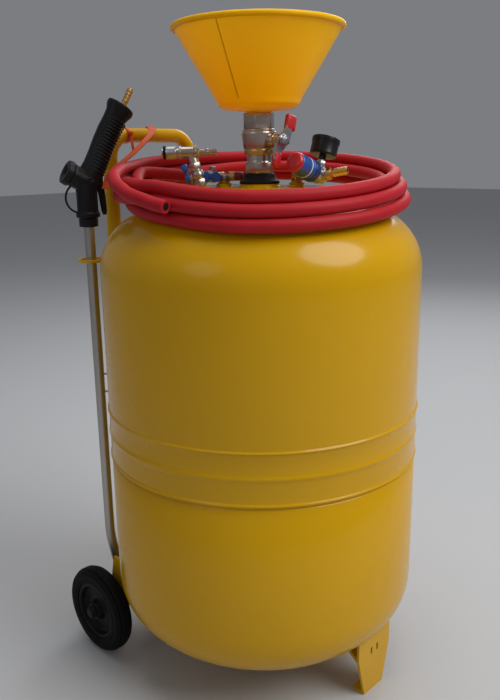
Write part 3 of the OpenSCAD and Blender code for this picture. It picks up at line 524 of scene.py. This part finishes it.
inside = TANK_R - WALL
upper_edge = Z_BELT + BELT_H - 1
hole_z = dome_z(FILLER_HOLE)
upper = [(TANK_R, upper_edge)] + dome_profile(TANK_R, DOME_H, Z_HIGH, 1)
upper = [(r, z) for r, z in upper if r > FILLER_HOLE]
upper += [(FILLER_HOLE, hole_z), (FILLER_HOLE, hole_z - WALL)]
inner = [(r, z) for r, z in dome_profile(inside, DOME_H - WALL, Z_HIGH, 1) if r > FILLER_HOLE + 0.5]
upper += inner[::-1] + [(inside, upper_edge)]
piece("upper_shell", lathe(upper, 0, 128), YELLOW, "tank", ("tank_upper_shell",), crease=50)
lower = [(TANK_R - 2, Z_BELT + 1), (TANK_R - 2, Z_BELT - 1.4), (TANK_R - 1.2, Z_BELT - 2.4),
         (TANK_R, Z_BELT - 4)]
lower += dome_profile(TANK_R, DOME_H, Z_LOW, -1)
lower += dome_profile(inside, DOME_H - WALL, Z_LOW, -1)[::-1] + [(inside, Z_BELT + 1)]
piece("lower_shell", lathe(lower, 0, 128), YELLOW, "tank", ("tank_lower_shell",), crease=50)


def ridge(z, height, half, steps=8):
    """A soft raised line round the tank, from below it to above it."""
    way = [2 * k / steps - 1 for k in range(steps + 1)]
    return [(TANK_R + height * (0.5 + 0.5 * cos(pi * t)), z + half * t) for t in way]


belt = [(TANK_R - 1.9, Z_BELT), (TANK_R - 0.8, Z_BELT + 0.2)]
belt += ridge(Z_BELT + 3.6, 1.7, 3) + [(TANK_R, Z_BELT + 8)]
belt += ridge(Z_BELT + BELT_H * 0.52, 1.6, 6) + ridge(Z_BELT + BELT_H - 2, 1.9, 2.6)
belt += [(inside, Z_BELT + BELT_H + 1.5), (inside, Z_BELT)]
piece("belt", lathe(belt, 0, 128), YELLOW, "tank", ("tank_belt",), crease=60)


def weld(name, points, radius=1.6, closed=False):
    """A rippled bead along points in metres."""
    ripple = 0.25 * MM
    bead = put(name, pipe_mesh(name, points, radius, 3, closed), YELLOW, "tank", crease=60)
    for i, v in enumerate(bead.data.vertices):
        v.co += Vector((sin(i * 1.7), cos(i * 2.3), sin(i * 0.9))) * ripple


for name, (x, y), r in (("inlet", INLET, 11), ("outlet", MIX, 11), ("safety", SAFETY, 10),
                        ("regulator", ELBOW, 11), ("filler", (0, 0), 27)):
    ring = []
    for k in range(48):
        a = 2 * pi * k / 48
        px, py = x + (r + 0.6) * cos(a), y + (r + 0.6) * sin(a)
        ring.append((px * MM, py * MM, (dome_z(hypot(px, py)) + 0.4) * MM))
    weld(name + "_weld", ring, 1.7, True)

# ---------- filling valve ----------

flange = [(BORE, 0), (27.2, 0), (28, 1.5), (27.6, 4), (24.5, 6), (22.5, 9), (21.4, 14), (BORE, 14)]
piece("filler_flange", lathe(flange, 1.2), RUBBER, "tank", ("filler_gasket",), shift(0, 0, Z_GASKET))
piece("valve_foot", joined(
    prism(6, 20.5, Z_VALVE, Z_VALVE + 15, 1.0),
    lathe([(BORE, Z_VALVE + 14), (18.6, Z_VALVE + 14), (17.4, Z_VALVE + 17), (17.4, Z_BAND + 0.5),
           (BORE, Z_BAND + 0.5)], 1),
    lathe([(16.5, Z_HOUSE - 1), (21.3, Z_HOUSE - 0.5), (22.4, Z_HOUSE + 6), (24, Z_HOUSE + 20),
           (23.2, Z_END), (16.5, Z_END)], 1.4),
    at(lathe([(4.6, 18), (9, 18), (9, 27.5), (8.2, 30), (4.6, 30)], 0.8), stem_place)),
    NICKEL, "tank", ("valve_body",))
piece("brass_band", lathe([(17, Z_BAND), (20.3, Z_BAND), (21, Z_BAND + 2), (21, Z_BAND + 6),
                           (20.3, Z_BAND + 8), (17, Z_BAND + 8)], 0.8), BRASS, "tank", ("valve_band",))
end_cap = joined(prism(6, 22, Z_END + 3, Z_FUNNEL, 1.2),
                 lathe([(BORE, Z_END - 1.2), (22.6, Z_END - 1.2), (22.6, Z_END + 2.2), (20, Z_END + 3.4),
                        (BORE, Z_END + 3.4)], 0.5))
piece("top_hexagon", end_cap, NICKEL, "tank", ("valve_end_cap",))
piece("gland_nut", joined(prism(6, 9, 30, 36, 0.8),
                          lathe([(4.6, 24), (6.4, 24), (6.4, 31), (4.6, 31)], 0.3)),
      BRASS, "tank", ("stem_gland",), stem_place)
piece("stem", joined(lathe([(0, 13.5), (4.5, 13.5), (4.5, 50.4), (3.9, 51), (0, 51)], 0.3),
                     prism(6, 7.5, 44.5, 49.5, 0.6),
                     lathe([(4.2, 44.4), (8.2, 44.4), (8.2, 45.2), (4.2, 45.2)], 0.2)),
      ZINC, "filler_handle", ("valve_stem",), stem_place)


def butterfly_plate():
    """A pressed plate with a wave across its length, in the plane that the stem crosses."""
    shape = bmesh.new()
    bmesh.ops.create_grid(shape, x_segments=36, y_segments=6, size=1.0)
    for v in shape.verts:
        u, w = v.co.x, v.co.y
        half = 9.5 - 4.6 * min(1, abs(u) * 1.25) ** 1.3
        along = u * (30 if u < 0 else 26)
        lean = radians(62)
        x = along * cos(lean) - w * half * sin(lean)
        z = along * sin(lean) + w * half * cos(lean)
        wave = 3.4 * sin(u * pi) * (1 if abs(u) > 0.28 else abs(u) / 0.28)
        v.co = Vector((x, z, wave)) * MM
    bmesh.ops.recalc_face_normals(shape, faces=shape.faces)
    bmesh.ops.solidify(shape, geom=shape.faces[:], thickness=2.3 * MM)
    return shape


piece("butterfly_plate", butterfly_plate(), ZINC, "filler_handle", ("handle_plate",), plate_place)
upper_cap = joined(block((19, 21, 7.6), 3.4, segments=5), block((13, 15, 8.6), 1.6))
lower_cap = joined(block((13, 19, 7.6), 3.2, segments=5), block((8, 13, 8.4), 1.6))
piece("butterfly_caps", joined(at(upper_cap, shift(14.5, 22.5, 1.8) @ turn(-14, "Z")),
                               at(lower_cap, shift(-10, -24.5, -1.4) @ turn(-14, "Z"))),
      RED, "filler_handle", ("handle_caps",), plate_place)

# ---------- funnel ----------

cone_foot, cone_edge = (58, 17), (112, 106)
cone_slope = atan2(cone_edge[1] - cone_foot[1], cone_edge[0] - cone_foot[0])
funnel_wall = [(13.4, -15), (15.9, -15), (15.9, 1.2), (44, 4), (50.5, 6.2), (55.2, 10.6),
               cone_foot, cone_edge, (109.4, 107), (55.6, 18), (53, 12.4), (49.4, 8.8),
               (43.6, 6.4), (13.4, 3.6)]
rim = [(112.4 + 3.6 * cos(pi * k / 8), 107 + 3.6 * sin(pi * k / 8)) for k in range(16)]
piece("funnel_cone", joined(lathe(funnel_wall, 1.2, 128), lathe(rim, 0, 128)), FUNNEL, "tank",
      ("funnel",), funnel_place)
seam_place = funnel_place @ turn(196, "Z") @ shift(85.4, 0, 61.6) @ Matrix.Rotation(-cone_slope, 4, "Y")
piece("funnel_seam", block((107, 1.3, 0.9), 0.35), FUNNEL, "tank", place=seam_place)

# ---------- air inlet and coupler ----------

piece("riser", joined(
    lathe([(4.2, 6), (7, 6), (7.2, 14), (7.2, 52), (4.2, 52)], 0.6), prism(6, 9, 7, 16, 0.8),
    prism(6, 9, 30, 39, 0.8), lathe([(4.2, 17), (8.4, 18), (9, 22), (8.4, 27), (4.2, 28)], 1.4),
    at(lathe([(2.6, 5), (5, 5), (5, 11.4), (2.6, 11.4)], 0.5), shift(0, 0, 22) @ turn(90, "Y"))),
    NICKEL, "tank", ("inlet_riser",), inlet_place)


def wing_lever():
    """A short lever with a boss, ribs and a wide end, flat on Z and pointing to +Y."""
    boss = lathe([(2.5, 0), (7, 0), (7, 5), (2.5, 5)], 0.7)
    arm = block((9, 14, 3.4), 1, shift(0, 8, 2.2))
    wide_end = block((16, 9.5, 8.5), 2.2, shift(0, 14.5, 2.6))
    rib = block((1.6, 12, 1.4), 0.4, shift(0, 8, 4.2))
    screw = lathe([(0, 5), (3.2, 5), (3.2, 6.1), (0, 6.4)], 0.4)
    return joined(boss, arm, wide_end, rib, screw)


piece("inlet_wing", wing_lever(), BLUE, "inlet_tap", ("inlet_lever",),
      inlet_place @ shift(11.8, 0, 22) @ turn(90, "Y") @ turn(90, "Z"))
piece("mix_wing", wing_lever(), BLUE, "mix_tap", ("mix_lever",),
      mix_place @ shift(11, 9.8, 0) @ turn(-90, "X") @ turn(-90, "Z"))
piece("coupler_nose", joined(
    lathe([(3.8, 5), (5.5, 13), (5.5, 38), (3.8, 38)], 0.5),
    lathe([(2.6, -10), (9.3, -9.5), (9.6, -6.5), (8, -6), (8, 14), (3.8, 14), (3.8, 6), (2.6, 6)], 0.7),
    prism(6, 6.8, -14, -8, 0.6),
    lathe([(2.6, -38), (5, -38), (5, -34), (4.2, -33.4), (4.2, -26), (5.2, -25), (5.2, -22), (4.2, -21.4),
           (4.2, -12), (2.6, -12)], 0.5)),
    NICKEL, "tank", ("coupler_body",), coupler_place)
knurl = [(5.7, 18), (8.2, 18)] + [(8.6 + 0.25 * (k % 2), 19 + k) for k in range(13)]
knurl += [(8.2, 32.6), (5.7, 32.6)]
piece("coupler_grip", lathe(knurl, 0.3, 48), ZINC, "coupler_ring", ("coupler_sleeve",), coupler_place)
piece("coupler_ring_black", lathe([(5.7, 32.4), (9.2, 32.4), (9.2, 35.8), (5.7, 35.8)], 0.7), RUBBER,
      "coupler_ring", (), coupler_place)
piece("coupler_ring_pale", lathe([(7.8, 14.1), (8.9, 14.1), (8.9, 16.4), (7.8, 16.4)], 0.5), ZINC, "tank", (),
      coupler_place @ shift(0, 0, -2.6))

# ---------- mixing valve and safety valve ----------

mix_low = dome_z(hypot(*MIX)) + 6 - Z_MIX
piece("mix_body", joined(
    prism(6, 9.5, mix_low, 3, 0.8),
    at(lathe([(2.6, 0), (6.5, 0), (6.5, 16.5), (2.6, 16.5)], 0.8), turn(90, "Y")),
    at(prism(6, 7.5, 16, 20, 0.6), turn(90, "Y")), at(prism(6, 7.5, -15, -7, 0.7), turn(90, "Y")),
    at(lathe([(2.6, 0), (8.3, 0), (9, 3), (8.3, 6), (2.6, 6)], 1.4), shift(0, 0, -3)),
    at(lathe([(2.6, 4), (4.5, 4), (4.5, 9.5), (2.6, 9.5)], 0.4), shift(11, 0, 0) @ turn(-90, "X"))),
    NICKEL, "tank", ("mix_valve_body",), mix_place)
piece("plug", lathe([(0, 15), (5.6, 15), (6.5, 16), (6.5, 24), (5.4, 27), (0, 27)], 0.9), DARK_RED, "tank",
      ("blank_plug",), mix_place @ turn(-90, "Y"))
safety_low = dome_z(hypot(*SAFETY)) + 6
safety_place = shift(*SAFETY, safety_low)
relief_round = [(2.1, 8), (6.4, 8), (6.4, 22), (5.4, 24), (5.4, 30), (2.1, 30)]
piece("relief_body", joined(prism(6, 8.5, 0, 9, 0.8), lathe(relief_round, 0.6)),
      BRASS, "tank", ("safety_valve",), safety_place)
piece("relief_ring", joined(lathe([(0, 19), (2, 19), (2, 34.6), (0, 34.6)], 0.2),
                            at(torus(7, 1.3, 48), shift(0, 0, 41.5) @ turn(FIT_AZ, "Z") @ turn(90, "X"))),
      ZINC, "safety_rod", ("safety_pull",), safety_place)


def hose_tail(radius, length, bore, teeth=4):
    """A saw-toothed tail along Z."""
    pitch = length / (teeth + 1)
    side = [(radius * 0.82, 0)]
    for k in range(1, teeth + 1):
        side += [(radius * 0.82, k * pitch), (radius, k * pitch + 0.25),
                 (radius * 0.84, (k + 0.85) * pitch)]
    return lathe([(bore, 0)] + side + [(radius * 0.82, length), (bore, length)], 0.12, 48)


piece("hose_tails", joined(
    at(joined(prism(6, 6.5, 0, 6, 0.5), at(hose_tail(5, 28, 3), shift(0, 0, 5.9))),
       shift(MIX[0] + 6, MIX[1] + 6, Z_MIX) @ turn(-90, "X")),
    at(joined(prism(6, 8.5, 0, 12, 0.8), at(hose_tail(6, 24, 3.4), shift(0, 0, 11.9)),
              lathe([(3.4, 11.5), (7, 11.5), (7, 13), (3.4, 13)], 0.3)),
       shift(REG[0], REG[1] - 8, Z_REG) @ turn(18, "Z") @ turn(80, "X"))),
    BRASS, "tank", ("hose_barbs",))
piece("hose_clip", joined(lathe([(8.6, -3.5), (9.5, -3.5), (9.5, 3.5), (8.6, 3.5)], 0.3),
                          block((8, 6, 7), 0.8, shift(0, 11, 0))), ZINC, "tank", (),
      shift(MIX[0] + 6, 86, Z_MIX) @ turn(90, "X"))

# ---------- regulator and gauge ----------

elbow_low = dome_z(hypot(*ELBOW)) + 6
ball_end = [(6.8 * sin(pi * k / 12), -6.8 * cos(pi * k / 12)) for k in range(13)]
piece("elbow", joined(
    at(prism(6, 8.5, elbow_low, elbow_low + 7, 0.7), shift(*ELBOW, 0)),
    at(lathe([(0, elbow_low), (6, elbow_low), (6, Z_REG), (0, Z_REG)], 0.2), shift(*ELBOW, 0)),
    at(lathe(ball_end, 0, 32), shift(*ELBOW, Z_REG)),
    at(lathe([(0, 0), (5.5, 0), (5.5, 29), (0, 29)], 0.4), shift(*ELBOW, Z_REG) @ turn(90, "X")),
    at(prism(6, 7.6, 12, 19, 0.6), shift(*ELBOW, Z_REG) @ turn(90, "X"))),
    BRASS, "tank", ("regulator_elbow",))
piece("regulator_case", joined(
    lathe([(0, -14), (4.6, -14), (5, -10.4), (9.5, -10), (11, -8.6), (11, -1), (13, 0), (13, 12.8), (4, 12.8),
           (4, 5), (0, 5)], 0.9),
    at(lathe([(0, -14.5), (8, -14.5), (8, 14.5), (0, 14.5)], 1), turn(90, "X")),
    at(joined(lathe([(0, 5), (5, 5), (5, 21), (0, 21)], 0.4), prism(6, 7.5, 12, 19, 0.7)), turn(90, "Y"))),
    ZINC, "tank", ("regulator_body",), reg_place)
bonnet = [(7.4, 17), (7.4, 23), (14.2, 23), (15, 22), (15, 13.8), (14.2, 13), (5, 13), (5, 17)]
piece("bonnet_band", lathe(bonnet, 0.7), DARK_BLUE, "tank", ("regulator_bonnet",), reg_place)
knob = lathe([(0, 18.6), (6.8, 18.6), (6.8, 23.4), (14.6, 23.4), (14.6, 26.2), (13.8, 27), (14, 49.6),
              (13, 51.2), (11.6, 51.2), (11.6, 48.4), (0, 48.4)], 0.8, 72)
for v in knob.verts:
    if 28 * MM < v.co.z < 49 * MM and hypot(v.co.x, v.co.y) > 13.4 * MM:
        groove = 1 - 0.035 * max(0, cos(18 * atan2(v.co.y, v.co.x)))
        v.co.x, v.co.y = v.co.x * groove, v.co.y * groove
piece("knob_grip", knob, BLUE, "reg_knob", ("regulator_knob",), reg_place)
piece("knob_stripe", lathe([(13.4, 30.5), (14.35, 30.5), (14.35, 32.2), (13.4, 32.2)], 0.2),
      DIAL, "reg_knob", (), reg_place)
knob_end = [(0, 49), (13.2, 49), (13.6, 51.4), (13.2, 54), (11.4, 56.4), (7, 57.6), (0, 58)]
piece("knob_end", lathe(knob_end, 1.8), RED, "reg_knob", ("knob_cap",), reg_place)
case = lathe([(0, 21), (5, 21), (5, 27), (16.6, 27), (18.6, 28.6), (18.6, 44.6), (19.5, 45.2), (19.5, 50.2),
              (18.8, 51), (17.2, 51), (17.2, 42.4), (0, 42.4)], 0.7, 96)
for v in case.verts:
    if 29 * MM < v.co.z < 44.4 * MM:
        rib = 1 - 0.012 * (0.5 + 0.5 * cos(48 * atan2(v.co.y, v.co.x)))
        v.co.x, v.co.y = v.co.x * rib, v.co.y * rib
piece("gauge_shell", case, GAUGE, "tank", ("gauge_case",), gauge_place)
piece("dial_plate", lathe([(1.1, 42.5), (16.9, 42.5), (16.9, 43), (1.1, 43)], 0.1),
      DIAL, "tank", ("gauge_dial",), gauge_place)
TICKS, DIAL_START, DIAL_SWEEP = 30, 225, 270
ticks = []
for k in range(TICKS + 1):
    length, width = (3.2, 0.55) if k % 5 == 0 else (1.8, 0.3)
    ticks.append(block((length, width, 0.16), 0.02, turn(DIAL_START - DIAL_SWEEP * k / TICKS, "Z")
                       @ shift(15.6 - length / 2, 0, 43.05), segments=1))
piece("dial_ticks", joined(*ticks), RUBBER, "tank", (), gauge_place)
piece("needle_hand", joined(
    lathe([(0, 42.6), (0.9, 42.6), (0.9, 45.2), (0, 45.2)], 0),
    lathe([(0, 45), (2, 45), (2, 46), (0, 46)], 0.2),
    at(block((17, 1.0, 0.7), 0.2), turn(DIAL_START, "Z") @ shift(5, 0, 45.4))),
    NEEDLE, "needle", ("gauge_needle",), gauge_place)
piece("window", lathe([(0, 48), (17.1, 48), (17.1, 49.6), (0, 49.6)], 0.3), GLASS, "tank", ("gauge_lens",),
      gauge_place)

# ---------- handle ----------

bend_x, bend_z = HANDLE_X - TUBE_BEND, HANDLE_Z - TUBE_BEND
out_x, up_z = (TUBE_BEND, 0, 0), (0, 0, TUBE_BEND)
grip_line = [Vector((-HANDLE_X, HANDLE_Y, LEG_END))]
grip_line += arc((-bend_x, HANDLE_Y, bend_z), (-TUBE_BEND, 0, 0), up_z, 0, 90, 16)
grip_line += arc((bend_x, HANDLE_Y, bend_z), up_z, out_x, 0, 90, 16)
grip_line += [Vector((HANDLE_X, HANDLE_Y, LEG_END))]
pipe("push_handle", [p * MM for p in grip_line], TUBE_R, YELLOW, "tank", ("handle_tube",), 8)


def tie(name, x, tail):
    """A cable tie drawn round the grip, with its head and its tail."""
    piece(name, joined(
        at(lathe([(11.1, -2.4), (12.4, -2.4), (12.4, 2.4), (11.1, 2.4)], 0.3, 48), turn(90, "Y")),
        at(block((7, 8, 5), 1), shift(0, -13.5, 3)),
        at(block((4.6, tail, 1.3), 0.4), shift(0, -14, 3) @ turn(78, "X") @ shift(0, -tail / 2, 0))),
        STRAP, "tank", (), shift(x, HANDLE_Y, HANDLE_Z))


tie("grip_tie", -50, 30)


def band(name, points, width, thick, stands_for=()):
    """A flat strap through points in millimetres, its width level."""
    shape = bmesh.new()
    bmesh.ops.create_grid(shape, x_segments=len(points) - 1, y_segments=2, size=1.0)
    line = [Vector(p) * MM for p in points]
    for v in shape.verts:
        i = round((v.co.x + 1) / 2 * (len(line) - 1))
        way = (line[min(i + 1, len(line) - 1)] - line[max(i - 1, 0)]).normalized()
        across = way.cross(Vector((0, 0, 1))).normalized()
        v.co = line[i] + across * v.co.y * width / 2 * MM
    bmesh.ops.recalc_face_normals(shape, faces=shape.faces)
    bmesh.ops.solidify(shape, geom=shape.faces[:], thickness=thick * MM)
    piece(name, shape, STRAP, "tank", stands_for, crease=60)


band("coil_strap", [(2, 246.5, 790), (2, 243, 801), (0, 234, 804.6), (-4, 224, 801), (-10, 219, 793),
                    (-36, 210, 778), (-66, 200, 762), (-100, 193, 745), (-120, 186, 731), (-129, 181, 716)],
     11, 1.4, ("hose_strap",))

# ---------- gun and lance ----------


def loft(sections):
    """A closed skin through ellipses: each is (x, z, half depth, half width, lean) in millimetres."""
    shape = bmesh.new()
    rings = []
    for x, z, depth, width, lean in sections:
        ring = bmesh.ops.create_circle(shape, segments=32, radius=1.0)["verts"]
        bmesh.ops.scale(shape, vec=(depth * MM, width * MM, 1), verts=ring)
        bmesh.ops.rotate(shape, cent=(0, 0, 0), matrix=Matrix.Rotation(radians(lean), 3, "Y"),
                         verts=ring)
        bmesh.ops.translate(shape, vec=(x * MM, 0, z * MM), verts=ring)
        rings.append(list({e for v in ring for e in v.link_edges}))
    for low, high in zip(rings, rings[1:]):
        bmesh.ops.bridge_loops(shape, edges=low + high)
    for ends in (rings[0], rings[-1]):
        bmesh.ops.edgeloop_fill(shape, edges=ends)
    bmesh.ops.recalc_face_normals(shape, faces=shape.faces)
    return shape


grip = loft([(0, 0, 17, 15, 0), (1, 12, 17, 15, 0), (2.5, 26, 16.8, 14.8, 0), (2, 44, 16.4, 14.6, -2),
             (0.5, 62, 16, 14.2, -2), (0, 80, 15.6, 13.8, 0), (1, 96, 15.4, 13.6, 4),
             (2.5, 106, 17, 14.8, 6), (3, 113, 20, 17, 6), (3, 117, 20.6, 17.6, 6),
             (3, 120, 19.6, 16.8, 6)])
ribs = [at(torus(15, 1.2, 32), shift(4.1 - 1.6 * sin(k * 0.2), 0, 20 + k * 4.8) @ turn(3, "Y"))
        for k in range(17)]
piece("gun_grip", joined(grip, *ribs), GUN, "gun", ("gun_body",), grip_place)
barrel = [(7.6, 12.6), (16.4, 13), (17.2, 14.5), (17.2, 19), (15.4, 21), (15, 24), (15, 46), (16, 60),
          (16, 70), (7.6, 70)]
piece("gun_barrel", lathe(barrel, 1.4), GUN, "gun", (), gun_place @ shift(0, 0, Z_NUT))
chamber_place = grip_place @ turn(-90, "Y")
chamber = [(0, -13), (14, -12), (16, -6), (16, 20), (15.4, 24), (0, 24)]
piece("gun_chamber", lathe(chamber, 1.6), GUN, "gun", (), chamber_place)
chamber_cap = [(0, 23.5), (17.4, 23.5), (18, 26), (17.2, 32.4), (16, 33.4), (10.6, 33.4), (9.2, 31.8),
               (6.8, 31.4), (6.2, 28), (0, 28)]
piece("gun_boss_cap", lathe(chamber_cap, 0.9), GUN, "gun", ("gun_cap",), chamber_place)
piece("trigger_guard", joined(
    at(block((16, 3.6, 22), 1.4), gun_place @ shift(15, 7.2, Z_JOINT + 4)),
    at(block((16, 3.6, 22), 1.4), gun_place @ shift(15, -7.2, Z_JOINT + 4))), GUN, "gun")
piece("collar_nut", joined(prism(12, 14, 0, 12.4, 0.8),
                           lathe([(7.6, -0.5), (10.5, -0.5), (10.5, 1), (7.6, 1)], 0.3)),
      GUN, "gun", ("gun_nut",), gun_place @ shift(0, 0, Z_NUT))
tether_r = 21
tether = arc((-10, 0, 704), (tether_r, 0, 0), (0, 0, tether_r), 100, 258, 28)
pipe("gun_tether", [gun_place @ (p * MM) for p in tether], 1.5, GUN, "gun", (), 3)
piece("gun_tail", joined(prism(6, 6.5, 0, 3, 0.4), at(hose_tail(5, 25, 2.6), shift(0, 0, 2.9))), BRASS, "gun",
      ("gun_barb",), grip_place @ shift(6, 0, 120.1))
lever = loft([(17, 7, 5, 4.4, 0), (19, 0, 5.4, 4.4, -10), (21, -9, 5.4, 4.4, -14), (22.6, -20, 5, 4.4, -10),
              (23.6, -32, 4.6, 4.4, -4), (24.4, -42, 4, 4.4, -6), (25, -47, 2.6, 3.6, -10)])
piece("gun_lever", joined(lever, at(lathe([(0, -10), (2.5, -10), (2.5, 10), (0, 10)], 0.3),
                                    shift(17, 0, 6) @ turn(90, "X"))),
      GUN, "trigger", ("gun_trigger",), gun_place @ shift(0, 0, Z_JOINT))

LANCE_R, LANCE_AZ, LANCE_LEAN = 7.5, 126, 11
BEND_L, TIP_L = 18, 67                   # the bend's length on each side, and the tip's below it
out = Vector((cos(radians(LANCE_AZ)), sin(radians(LANCE_AZ)), 0))
low_bend, lean = Vector((*LANCE, Z_BEND)) * MM, radians(LANCE_LEAN)
up = Vector((0, 0, 1))
down = -up * cos(lean) - out * sin(lean)
lance_line = [low_bend + up * (Z_NUT + 26 - Z_BEND) * MM, low_bend + up * 30 * MM]
for k in range(9):
    t = k / 8
    lance_line.append(low_bend + (up * (1 - t) ** 2 + down * t ** 2) * BEND_L * MM)
lance_line.append(low_bend + down * TIP_L * MM)
pipe("lance", lance_line, LANCE_R, STEEL, "gun", ("lance_tube",), 8)
nozzle_place = Matrix.Translation(low_bend) @ down.to_track_quat("Z", "Y").to_matrix().to_4x4()
piece("nozzle", joined(
    lathe([(2, 66), (8.4, 66), (9.4, 67), (9.4, 79), (8.6, 81), (5.6, 87.4), (4.6, 88), (2, 88),
           (2, 72)], 0.7),
    at(torus(9.3, 0.6, 48), shift(0, 0, 70)), at(torus(9.3, 0.6, 48), shift(0, 0, 74))),
    GUN, "gun", ("lance_nozzle",), nozzle_place)

# ---------- wheels ----------

tyre_half = [(45, -12), (47, -13.6), (49.4, -14), (50.2, -13), (51, -14), (58, -14), (60.4, -13.6),
             (61.2, -12.2), (62.6, -12.8), (65, -11), (65.4, -9.4), (63.9, -8.4), (66.4, -7.6),
             (67.6, -5.8), (68, -3), (68, 0)]
tyre = tyre_half + [(r, -z) for r, z in tyre_half[-2::-1]]
hub = [(6.1, -14), (14, -14), (14, -6), (17, -4.6), (34, -3), (37, -4), (40, -11), (45, -11.5),
       (45, 11.5), (41, 12), (39.6, 11), (37, 4.4), (34, 2.6), (18, 3.6), (15.6, 5.4), (13, 14),
       (6.1, 14)]
axle_cap = [(6, 14.3), (10.4, 14.3), (10.4, 16.2), (9.2, 16.6), (8.6, 20.4), (6.6, 21.8), (0, 22),
            (0, 20.2), (6, 20.2)]
washer = [(6, -16.4), (10.4, -16.4), (10.4, -14.4), (6, -14.4)]
for name, s in (("left", -1), ("right", 1)):
    place = shift(s * WHEEL_X, AXLE_Y, WHEEL_R) @ turn(s * 90, "Y")
    wheel = "wheel_" + name
    disc = joined(lathe(hub, 1.1, 96), at(torus(25, 0.9, 72), shift(0, 0, 2.8)))
    piece("tyre_" + name + "_tread", lathe(tyre, 0.5, 128), TYRE, wheel, ("tyre_" + name,), place)
    piece(wheel + "_disc", disc, HUB, wheel, ("hub_" + name,), place)
    piece("axle_" + name + "_cap", joined(lathe(axle_cap, 0.6), lathe(washer, 0.3)), HUB, "tank",
          ("axle_fasteners",) if s < 0 else (), place)

# ---------- floor ----------

floor = bmesh.new()
bmesh.ops.create_grid(floor, x_segments=1, y_segments=1, size=14)
floor_mesh = bpy.data.meshes.new("floor")
floor.to_mesh(floor_mesh)
floor.free()
floor_mesh.materials.append(Finish("floor", (0.52, 0.525, 0.535), 0.75).material)
ground = bpy.data.objects.new("floor", floor_mesh)
bpy.context.scene.collection.objects.link(ground)
